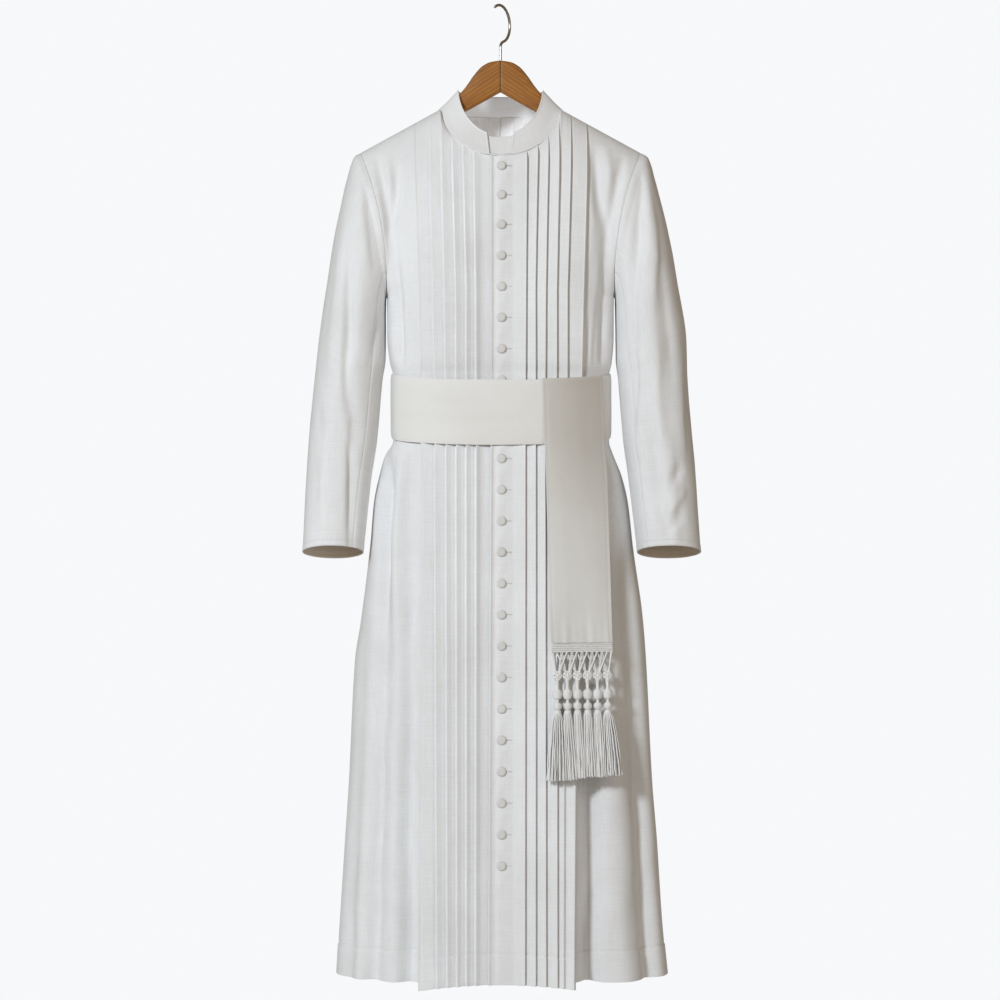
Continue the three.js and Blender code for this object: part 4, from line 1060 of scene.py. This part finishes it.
def addFascia():
    def bandPlace(turn, share):
        dip = waistband["dip"] * max(math.cos(turn), 0)
        p = bandPoint(turn, lerp(waistband["top"], waistband["bottom"], share) - dip, waistband["thick"])
        edge = math.exp(-(share / 0.025) ** 2) + math.exp(-((1 - share) / 0.025) ** 2)
        fold = -0.6 * (math.exp(-((share - 0.05) / 0.014) ** 2) + math.exp(-((share - 0.95) / 0.014) ** 2))
        relief = dragHeight(turn, share) - 0.4 * edge + fold * 0.5
        around = p.x + math.copysign(400, math.cos(turn)) * smooth(abs(math.cos(turn)), 0, 0.02)
        relief += 0.25 * wander((around, share * 100), 6, (30, 26))
        relief -= 1.1 * (smooth(share, 0.1, 0) + smooth(share, 0.9, 1))
        p.z += 0.8 * wander((p.x, p.y), 9, (70, 70)) * (1 - 2 * share)
        out = Vector((p.x / waistband["left"] ** 2, p.y / waistband["front"] ** 2, 0)).normalized()
        return p + out * relief

    turns = steps(0, 2 * pi, 220)
    shares = [0, 0.006, 0.015, *steps(0.03, 0.97, 26), 0.985, 0.994, 1]
    mesh = clothMesh("fascia_band", turns, shares, bandPlace, around=True)
    band = thicken(addPiece("fascia_band_silk", mesh, fasciaSilk, "fascia_cloth", ["fascia_band"]),
                   1.8, bevel=0.5)

    def bandTop(share):
        p = fallPoint(waistband["top"], share)
        flat = min(abs(p.y) / (waistband["front"] + waistband["thick"]), 1) ** (power / 2)
        return waistband["top"] - waistband["dip"] * flat

    turnRadius = fallThick  # the fall turns over the band's top edge on this radius
    path = [("back", 2.5), ("back", 1.6), ("back", 0.6)]
    path += [("corner", math.radians(angle)) for angle in (0, 22, 45, 68, 90)]
    path += [("front", down) for down in (2, 4, 7, 11, 16, 22, 29)]
    path += [("low", z) for z in steps(-655, fallLow, 76)]

    def fallPlace(share, spot):
        kind, value = spot
        top = bandTop(share) + fallGap + fallThick
        if kind == "back":
            return fallPoint(waistband["top"], share, -value) + Vector((0, 0, top - waistband["top"]))
        if kind == "corner":
            p = fallPoint(waistband["top"], share, turnRadius * math.sin(value))
            p.z = top - turnRadius + turnRadius * math.cos(value)
            return p
        z = top - fallThick - value if kind == "front" else value
        z = min(z, top - fallThick)
        p = fallPoint(z, share, fallThick)
        low = smooth(-z, 720, 1000)
        ripple = 0.35 * math.sin(2 * pi * (share * 4.6 + 0.1)) + 0.25 * math.sin(2 * pi * (share * 7.3 + 0.4))
        p.y -= ripple * smooth(-z, 985, 1040) + 0.8 * (1 - smooth(top - z, 11, 13))
        p.y -= 1.6 * wander((share * 100, z), 12, (40, 170)) * low
        p.y -= 0.35 * wander((share * 100, z), 14, (16, 60))
        p.y += 0.5 * (math.exp(-((share - 0.045) / 0.012) ** 2) + math.exp(-((share - 0.955) / 0.012) ** 2))
        p.x += 0.7 * wander((0, z), 15, (1, 120)) * low
        return p

    shares = [0, 0.006, 0.014, *steps(0.025, 0.975, 60), 0.986, 0.994, 1]
    mesh = clothMesh("fascia_fall", shares, path, fallPlace)
    hanging = thicken(addPiece("fascia_fall_silk", mesh, shadedFallSilk, "fascia_cloth", ["fascia_fall"]),
                      1.3, bevel=0.35)
    return band, hanging


fasciaBand, fasciaFall = addFascia()
print("fascia made")

# The fringe: a ribbed header, crossing cords with a star knot at each foot, and a tassel below each knot.
# A tassel's strands start at "root" below its knot, and their lengths are counted from "skirt" below it.
fringe = {"header": 15, "rows": 5, "gimp": 3.1, "net": 36, "knots": 6, "pitch": 16.4, "lean": 4.2,
          "ends": [218, 217, 214, 213, 213, 211], "slant": [-2, 5, 4, 3, 3, 8],
          "spread": [18, 12, 10.5, 11.5, 10.5, 17], "skirt": 60, "root": 59, "bundles": 34, "bundle": 7,
          "strand": 0.55, "turn": 2.39996}


def fringeFrame():
    left = Vector((fall["x1"](fallLow), fall["y1"](fallLow) - fallThick / 2, fallLow))
    right = Vector((fall["x2"](fallLow), fall["y3"](fallLow) - fallThick / 2, fallLow))
    middle = left.lerp(right, 0.5) - Vector((0, 0, 0.4))
    turn = math.atan2(right.y - left.y, right.x - left.x)
    place = (Matrix.Translation(middle) @ Matrix.Rotation(turn, 4, "Z")
             @ Matrix.Rotation(-math.radians(fringe["lean"]), 4, "X"))
    return place, (right - left).length


def lathe(profile, sides, place):
    # spins a profile of (radius, height) pairs, top to bottom, and closes its poles
    shape = bmesh.new()
    verts = [shape.verts.new((radius, 0, height)) for radius, height in profile]
    edges = [shape.edges.new(pair) for pair in zip(verts, verts[1:])]
    bmesh.ops.spin(shape, geom=verts + edges, cent=(0, 0, 0), axis=(0, 0, 1), angle=2 * pi, steps=sides,
                   use_merge=True, dvec=(0, 0, 0))
    bmesh.ops.remove_doubles(shape, verts=shape.verts, dist=1e-5)
    bmesh.ops.recalc_face_normals(shape, faces=shape.faces)
    bmesh.ops.transform(shape, matrix=Matrix.Scale(metres, 4) @ place, verts=shape.verts)
    return shape


def ply(points, radius, turns, offset, along=(0, 0, 1)):
    # one ply of a cord: it winds round a line of points
    side = Vector(along).orthogonal().normalized()
    other = side.cross(Vector(along)).normalized()
    count = len(points) - 1
    wound = []
    for i, point in enumerate(points):
        angle = 2 * pi * turns * i / count + offset
        wound.append(point + (side * math.cos(angle) + other * math.sin(angle)) * radius)
    return wound


def ball(radius, middle, squash=1.0):
    shape = bmesh.new()
    bmesh.ops.create_icosphere(shape, subdivisions=3, radius=radius)
    bmesh.ops.scale(shape, vec=(1, squash, 1), verts=shape.verts)
    bmesh.ops.translate(shape, vec=middle, verts=shape.verts)
    return shape


def joinShapes(shapes):
    whole = shapes[0]
    for shape in shapes[1:]:
        mesh = meshFrom(shape, "part")
        whole.from_mesh(mesh)
        bpy.data.meshes.remove(mesh)
    return whole


def knotX(index):
    return (index - (fringe["knots"] - 1) / 2) * fringe["pitch"]


def addHeader(place, width):
    rows = []
    pitch = fringe["header"] / fringe["rows"]
    for row in range(fringe["rows"]):  # rows of two-ply gimp
        turns = int(width / fringe["gimp"])
        line = [Vector((x, -1.1, -pitch * (row + 0.5))) for x in steps(-width / 2, width / 2, turns * 10)]
        rows += [[place @ p for p in ply(line, 0.62, turns, offset, (1, 0, 0))] for offset in (0, pi)]
    threads("fringe_header_gimp", rows, 0.66, fringeSilk, "fringe_silk")
    core = bmesh.new()
    bmesh.ops.create_cube(core, size=1)
    bmesh.ops.scale(core, vec=(width, 2, fringe["header"] - 0.8), verts=core.verts)
    bmesh.ops.translate(core, vec=(0, 0.4, -fringe["header"] / 2), verts=core.verts)
    bmesh.ops.bevel(core, geom=core.edges, offset=0.6, segments=2, profile=0.5, affect="EDGES", material=-1)
    bmesh.ops.transform(core, matrix=Matrix.Scale(metres, 4) @ place, verts=core.verts)
    return addPiece("fringe_header_core", meshFrom(core, "fringe_header_core"), fringeSilk, "fringe_silk")


def addNet(place, width):
    # bold cords lean one way, and pairs of finer ones the other way
    bold, fine = [], []
    foot = -fringe["header"] - fringe["net"]
    for i in range(fringe["knots"]):
        for way, lifts in ((1, (0,)), (-1, (0,)), (0.5, (-1.2, 1.2)), (-0.5, (-1.2, 1.2))):
            far = knotX(i) + way * fringe["pitch"]
            reach = math.copysign(min(abs(far), width / 2 - 2), far)
            top = Vector((reach, 0, -fringe["header"] + 1))
            low = Vector((knotX(i) + math.copysign(1.2, way), 0, foot))
            for lift in lifts:
                line = [top.lerp(low, share) + Vector((lift * (1 - share), -way * 1.3, 0))
                        for share in steps(0, 1, 40)]
                thick = abs(way) == 1
                cords = [[place @ p for p in ply(line, 0.9 if thick else 0.5, 8, offset)]
                         for offset in (0, pi)]
                if thick:
                    bold += cords
                else:
                    fine += cords
    threads("fringe_net_fine_cords", fine, 0.55, fringeSilk, "fringe_silk")
    threads("fringe_net_cords", bold, 0.95, fringeSilk, "fringe_silk", ["fringe_net"])


def bead(radius, middle, half):
    # the outline of a ball, as radius and height from top to bottom
    return [(radius * math.sqrt(1 - share * share), middle - half * share)
            for share in steps(-0.95, 0.95, 10)]


tasselCore = [(0, 2), (2.6, 1), (3.6, -4), (3.8, -6), (2.8, -9), (2.5, -17), *bead(8.1, -29, 9), (2.5, -39.4),
              *bead(7, -48, 6.4), (5.2, -54.8), (5.6, -56), (5.6, -60), (4.4, -63), (0, -63.4)]


def addTassel(place, index):
    foot = -fringe["header"] - fringe["net"]
    name = f"tassel_{index + 1}"
    at = place @ Matrix.Translation((knotX(index), 0, foot))
    petals = [ball(3.6, (0, -1.2, -1), 0.8)]
    for angle in steps(pi / 6, 2 * pi + pi / 6, 6)[:-1]:
        petals.append(ball(2.7, (5.2 * math.cos(angle), -0.4, 5.2 * math.sin(angle) - 1)))
    knot = joinShapes(petals)
    bmesh.ops.transform(knot, matrix=Matrix.Scale(metres, 4) @ at, verts=knot.verts)
    addPiece(f"{name}_knot", meshFrom(knot, "tassel_knot"), fringeSilk, "fringe_silk")
    star = []  # loops of cord over the knot
    for angle in steps(0, 2 * pi, 120):
        reach = 4.8 + 2.6 * math.cos(6 * angle)
        star.append(at @ Vector((reach * math.cos(angle), -3.0 + 0.5 * math.sin(12 * angle) + reach * 0.1,
                                 reach * math.sin(angle) - 1)))
    threads(f"{name}_knot_cord", [star], 0.9, fringeSilk, "fringe_silk")
    top = at @ Matrix.Translation((0, 0, -1.8))
    addPiece(f"{name}_core", meshFrom(lathe(tasselCore, 24, top), "tassel_core"), fringeSilk, "fringe_silk")
    outline = Curve([(-z, r) for r, z in tasselCore[1:-1]])
    wound = []
    for first, last, pitch in ((3, 12, 1.7), (20.4, 37.6, 1.8), (42, 54, 1.7), (55, 60.4, 2)):
        count = int((last - first) / pitch * 14)
        wound.append([top @ Vector((outline(d) * math.cos(i * pi / 7), outline(d) * math.sin(i * pi / 7), -d))
                      for i, d in enumerate(steps(first, last, count))])
    threads(f"{name}_wraps", wound, 0.6, fringeSilk, "fringe_silk", sides=0)
    strands = []
    length = fringe["ends"][index] + foot - fringe["skirt"]
    spread = fringe["spread"][index]
    bundles = fringe["bundles"]
    for i in range(bundles * fringe["bundle"]):
        bundle = i // fringe["bundle"]
        turn, own = bundle * fringe["turn"], i * fringe["turn"]
        out = math.sqrt((bundle + 0.5) / bundles)
        stray = 4.5 if i % 37 == 5 else 0  # a few strands hang loose
        drop = length + 3 * noise.noise(Vector((bundle * 1.7, index, 0)))
        drop += 2 * noise.noise(Vector((i * 1.7, index, 5)))
        path = []
        for share in steps(0, 1, 9):
            wide = lerp(5.8, spread, share ** 0.45) * out + stray * share
            deep = lerp(4.6, 7.5, share ** 0.5) * out
            wave = Vector((bundle * 2.3, share * 4, index))
            loose = 0.5 + 0.5 * share
            path.append(top @ Vector((
                fringe["slant"][index] * share + wide * math.cos(turn) + loose * math.cos(own)
                + 2.4 * noise.noise(wave) * share,
                deep * math.sin(turn) + loose * math.sin(own)
                + 1.8 * noise.noise(wave + Vector((9, 9, 9))) * share,
                -fringe["root"] - drop * share)))
        strands.append(path)
    threads(f"{name}_strands", strands, fringe["strand"], fringeSilk, "fringe_silk", [name], 0)


def addFringe():
    place, width = fringeFrame()
    header = addHeader(place, width)
    addNet(place, width)
    for index in range(fringe["knots"]):
        addTassel(place, index)
    return header


fringeHeader = addFringe()
print("fringe made")


# Buttons, with the buttonholes beside them

def onFront(z):
    spot = column((buttons["x"],) * 4)
    if z < underarmZ:
        level = -(z - underarmZ) / (hemZ - underarmZ)
    else:
        topZ = topPoint(buttons["x"], 1, "front").z
        level = math.asin((z - underarmZ) / (topZ - underarmZ)) / (pi / 2)
    return bare(spot, level, 1, "front")


def buttonFrame(z):
    slope = onFront(z + buttons["radius"]) - onFront(z - buttons["radius"])
    normal = Vector((1, 0, 0)).cross(slope).normalized()
    up = normal.cross(Vector((1, 0, 0)))
    turn = Matrix((Vector((1, 0, 0)), up, normal)).transposed().to_4x4()
    if turn.determinant() < 0:
        turn = Matrix((Vector((1, 0, 0)), -up, normal)).transposed().to_4x4()
    return Matrix.Translation(onFront(z) + normal * (buttons["rise"] + buttons["clear"])) @ turn


def addButtons():
    holes = []
    radius, height = buttons["radius"], buttons["height"]
    profile = [(0, height * 0.93), (radius * 0.3, height * 0.92), (radius * 0.5, height * 0.91),
               (radius * 0.62, height * 0.93), (radius * 0.74, height * 0.88), (radius * 0.86, height * 0.72),
               (radius * 0.95, height * 0.48), (radius, height * 0.26), (radius * 0.96, height * 0.1),
               (radius * 0.84, 0), (0, 0)]
    for number, z in enumerate(buttonHeights, 1):
        place = buttonFrame(z)
        shape = lathe(profile, buttons["sides"], place)
        addPiece(f"button_{number:02d}_cover", meshFrom(shape, "button_cover"), buttonCloth, "button_cloth",
                 [f"button_{number:02d}"])
        if waistband["top"] - 20 > z > waistband["bottom"] - 20:
            continue
        outline = []
        for i in range(41):
            turn = 2 * pi * i / 40
            wide = math.copysign(abs(math.sin(turn)) ** 0.4, math.sin(turn))
            outline.append(Vector((8.7 + 8.3 * math.cos(turn), 0.3 * wide, 0.1)))
        for i, p in enumerate(outline[:-1]):  # buttonhole stitches stand across the slit
            outwards = Vector((0.15 * (p.x - 8.7), p.y, 0)).normalized()
            down = Vector((0, 0, -0.35))
            holes.append([place @ (p + down), place @ (p + outwards * 0.5 + down)])
        holes.append([place @ (p + Vector((0, 0, -0.05))) for p in outline])
    threads("buttonhole_stitches", holes, 0.25, buttonholeTwist, "cassock_cloth", sides=0)


addButtons()
print("buttons made")


# Sewing along the hem and the cuffs

def addSewing():
    paths = []
    for side in (1, -1):
        for face in ("front", "back"):
            place = bodyPlace(side, face)
            line = [place(spot, levelAbove(hemWidth)) for spot in columnsOf(side, face)
                    if spot["wall"] is None]
            outwards = Vector((0, -1 if face == "front" else 1, 0))
            paths += stitchPaths([p + outwards * 0.25 for p in line], 3, 1.6)
    threads("hem_stitches", paths, 0.28, sewingThread, "cassock_cloth", sides=0)
    cuffs = []
    for side in (1, -1):
        place = sleevePlace(side)
        ring = lastRing - 10 / ringSpacing
        middle = Vector((side * 274, -38, -868))  # of the sleeve, just above the cuff
        line = [place(turn, ring) for turn in steps(0, 2 * pi, 90)]
        line = [p + (p - middle).normalized() * 0.25 for p in line]
        cuffs += stitchPaths(line, 3, 1.6)
    threads("cuff_stitches", cuffs, 0.28, sewingThread, "cassock_cloth", sides=0)


addSewing()
print("sewing made")

# The hanger

hanger = {"topZ": -89, "underZ": -141.4, "slope": 0.558, "half": 7, "corner": 5.5, "tipX": 212,
          "clear": 0.9}
hook = {"wire": 2.25, "radius": 30, "turn": 59, "overhang": 35, "bend": 8}
armTop = [(0, -89), (16, -91.5), (30, -98.5), (45, -115), (56, -131), (70, -148), (84, -166)]
armDrop = Curve([(99, -2.6), (130, 0), (198, 0), (207, -2.5), (212, -9)])


def armTopAt(x):
    if x < neck["width"]:
        under = armUnder(neck["width"]) - 2.6
        return Curve([*armTop, (neck["width"], under)])(x)
    return armUnder(x) + armDrop(x)


def armUnder(x):
    shoulderZ = shoulderStart.z + shoulderSlope * (x - neck["width"])
    return shoulderZ - (cloth + hanger["clear"]) * math.hypot(1, shoulderSlope)


def addArms():
    for side in (1, -1):
        name = f"hanger_arm_{sideName(side)}"
        stations = [0.02, *steps(3, 207, 68), 208.5, 210, 211.2, 211.8]

        def place(turn, x):
            top = armTopAt(x)
            bottom = hanger["underZ"] - hanger["slope"] * x + 10 * smooth(x, 196, hanger["tipX"])
            tall, middle = (top - bottom) / 2, (top + bottom) / 2
            half = hanger["half"] * (1 - 0.35 * smooth(x, 203, hanger["tipX"]))
            corner = min(hanger["corner"], tall)
            across, up = math.cos(turn), math.sin(turn)
            y = math.copysign(half - corner, across) if abs(across) > 0.02 else 0
            z = math.copysign(tall - corner, up)
            return Vector((side * x, y + corner * across * half / hanger["half"], middle + z + corner * up))

        turns = [quarter * pi / 2 + angle for quarter in range(4) for angle in steps(0.03, pi / 2 - 0.03, 7)]
        shape = gridShape([*turns, turns[0] + 2 * pi], stations, place, around=True)
        bmesh.ops.holes_fill(shape, edges=shape.edges, sides=0)
        bmesh.ops.recalc_face_normals(shape, faces=shape.faces)
        bmesh.ops.bevel(shape, geom=[edge for edge in shape.edges
                                     if edge.calc_face_angle(0) > 0.9 and abs(edge.verts[0].co.x) > 0.1],
                        offset=0.0006, segments=2, profile=0.5, affect="EDGES", material=-1)
        addPiece(f"{name}_wood", meshFrom(shape, name), wood, "hanger_wood", [name])


def addHook():
    def flat(u, z):
        turn = math.radians(hook["turn"])
        return Vector((u * math.cos(turn), u * math.sin(turn), z))

    middleZ = hook["wire"] - hook["radius"]
    path = []
    for angle in steps(90 + hook["overhang"], -72, 60):
        turn = math.radians(angle)
        path.append(flat(hook["radius"] * math.cos(turn), middleZ + hook["radius"] * math.sin(turn)))
    start, end = path[-1], flat(0, middleZ - hook["radius"] - hook["bend"])
    way = flat(1.2, middleZ - hook["radius"] - hook["bend"] * 0.25)
    for share in steps(0, 1, 14)[1:]:
        path.append(start.lerp(way, share).lerp(way.lerp(end, share), share))
    for z in steps(end.z, hanger["topZ"] - 2, 12)[1:]:
        path.append(Vector((0, 0, z)))
    out = (path[0] - path[1]).normalized() * hook["wire"]
    path = [path[0] + out * reach for reach in (0.95, 0.75, 0.4)] + path
    threads("hanger_hook_wire", [path], hook["wire"], steel, "hook_wire", ["hanger_hook"], 5,
            (0.3, 0.68, 0.93))


addArms()
addHook()
print("hanger made")

# The room

def addFloor():
    floor = bmesh.new()
    bmesh.ops.create_grid(floor, x_segments=2, y_segments=2, size=1.6)
    bmesh.ops.translate(floor, vec=(0, -0.4, -1.95), verts=floor.verts)
    mesh = meshFrom(floor, "floor", flat=True)
    piece = bpy.data.objects.new("floor", mesh)
    bpy.context.scene.collection.objects.link(piece)
    paint = Shader("pale_floor")
    grain = paint.noise(paint.object(), 30, 4)
    paint.set(Base_Color=paint.ramp(grain, [(0.3, (0.86, 0.87, 0.88)), (0.7, (0.9, 0.91, 0.92))]),
              Roughness=0.9)
    mesh.materials.append(paint.material)


garmentMiddle = (0, 0, -0.8)
coolWhite = (0.86, 0.93, 1)
lights = {
    "left": {"at": (-4.0, -1.7, 0.3), "to": garmentMiddle, "size": 0.9, "watts": 14, "tint": coolWhite},
    "front": {"at": (-2.1, -4.1, 0.9), "to": garmentMiddle, "size": 0.7, "watts": 150, "tint": coolWhite},
    "fill": {"at": (2.9, -3.3, 0.1), "to": garmentMiddle, "size": 2.2, "watts": 22,
             "tint": (1, 0.96, 0.92)},
    "neck": {"at": (0, 0, -0.29), "to": (0, 0.09, -0.17), "size": 0.08, "watts": 0.08,
             "tint": (0.96, 0.98, 1)},
}


def addLights():
    for name, light in lights.items():
        lamp = bpy.data.lights.new(name, "AREA")
        lamp.energy, lamp.size, lamp.color = light["watts"], light["size"], light["tint"]
        holder = bpy.data.objects.new(name, lamp)
        holder.location = light["at"]
        aim = Vector(light["to"]) - Vector(light["at"])
        holder.rotation_euler = aim.to_track_quat("-Z", "Y").to_euler()
        holder.visible_camera = False
        bpy.context.scene.collection.objects.link(holder)


def addWorld():
    # pale to the camera, and a dim warm light on the cloth
    world = bpy.data.worlds.new("studio")
    bpy.context.scene.world = world
    world.use_nodes = True
    tree = world.node_tree
    seen = tree.nodes["Background"]
    seen.inputs["Color"].default_value = (0.93, 0.94, 0.955, 1)
    warm = tree.nodes.new("ShaderNodeBackground")
    warm.inputs["Color"].default_value = (1, 0.79, 0.55, 1)
    warm.inputs["Strength"].default_value = 0.2
    path = tree.nodes.new("ShaderNodeLightPath")
    both = tree.nodes.new("ShaderNodeMixShader")
    tree.links.new(path.outputs["Is Camera Ray"], both.inputs["Fac"])
    tree.links.new(warm.outputs[0], both.inputs[1])
    tree.links.new(seen.outputs[0], both.inputs[2])
    tree.links.new(both.outputs[0], tree.nodes["World Output"].inputs["Surface"])


def addCamera():
    distance, viewWidth = 4.2, 1.65
    lens = bpy.data.cameras.new("camera")
    lens.sensor_width = 36
    lens.lens = lens.sensor_width * distance / viewWidth
    camera = bpy.data.objects.new("camera", lens)
    camera.location = (-0.0008, -distance, -0.814)
    camera.rotation_euler = (pi / 2, 0, 0)
    bpy.context.scene.collection.objects.link(camera)
    bpy.context.scene.camera = camera


addFloor()
addLights()
addWorld()
addCamera()
bpy.context.scene.view_settings.view_transform = "Standard"
print("room made")

bpy.context.view_layer.update()
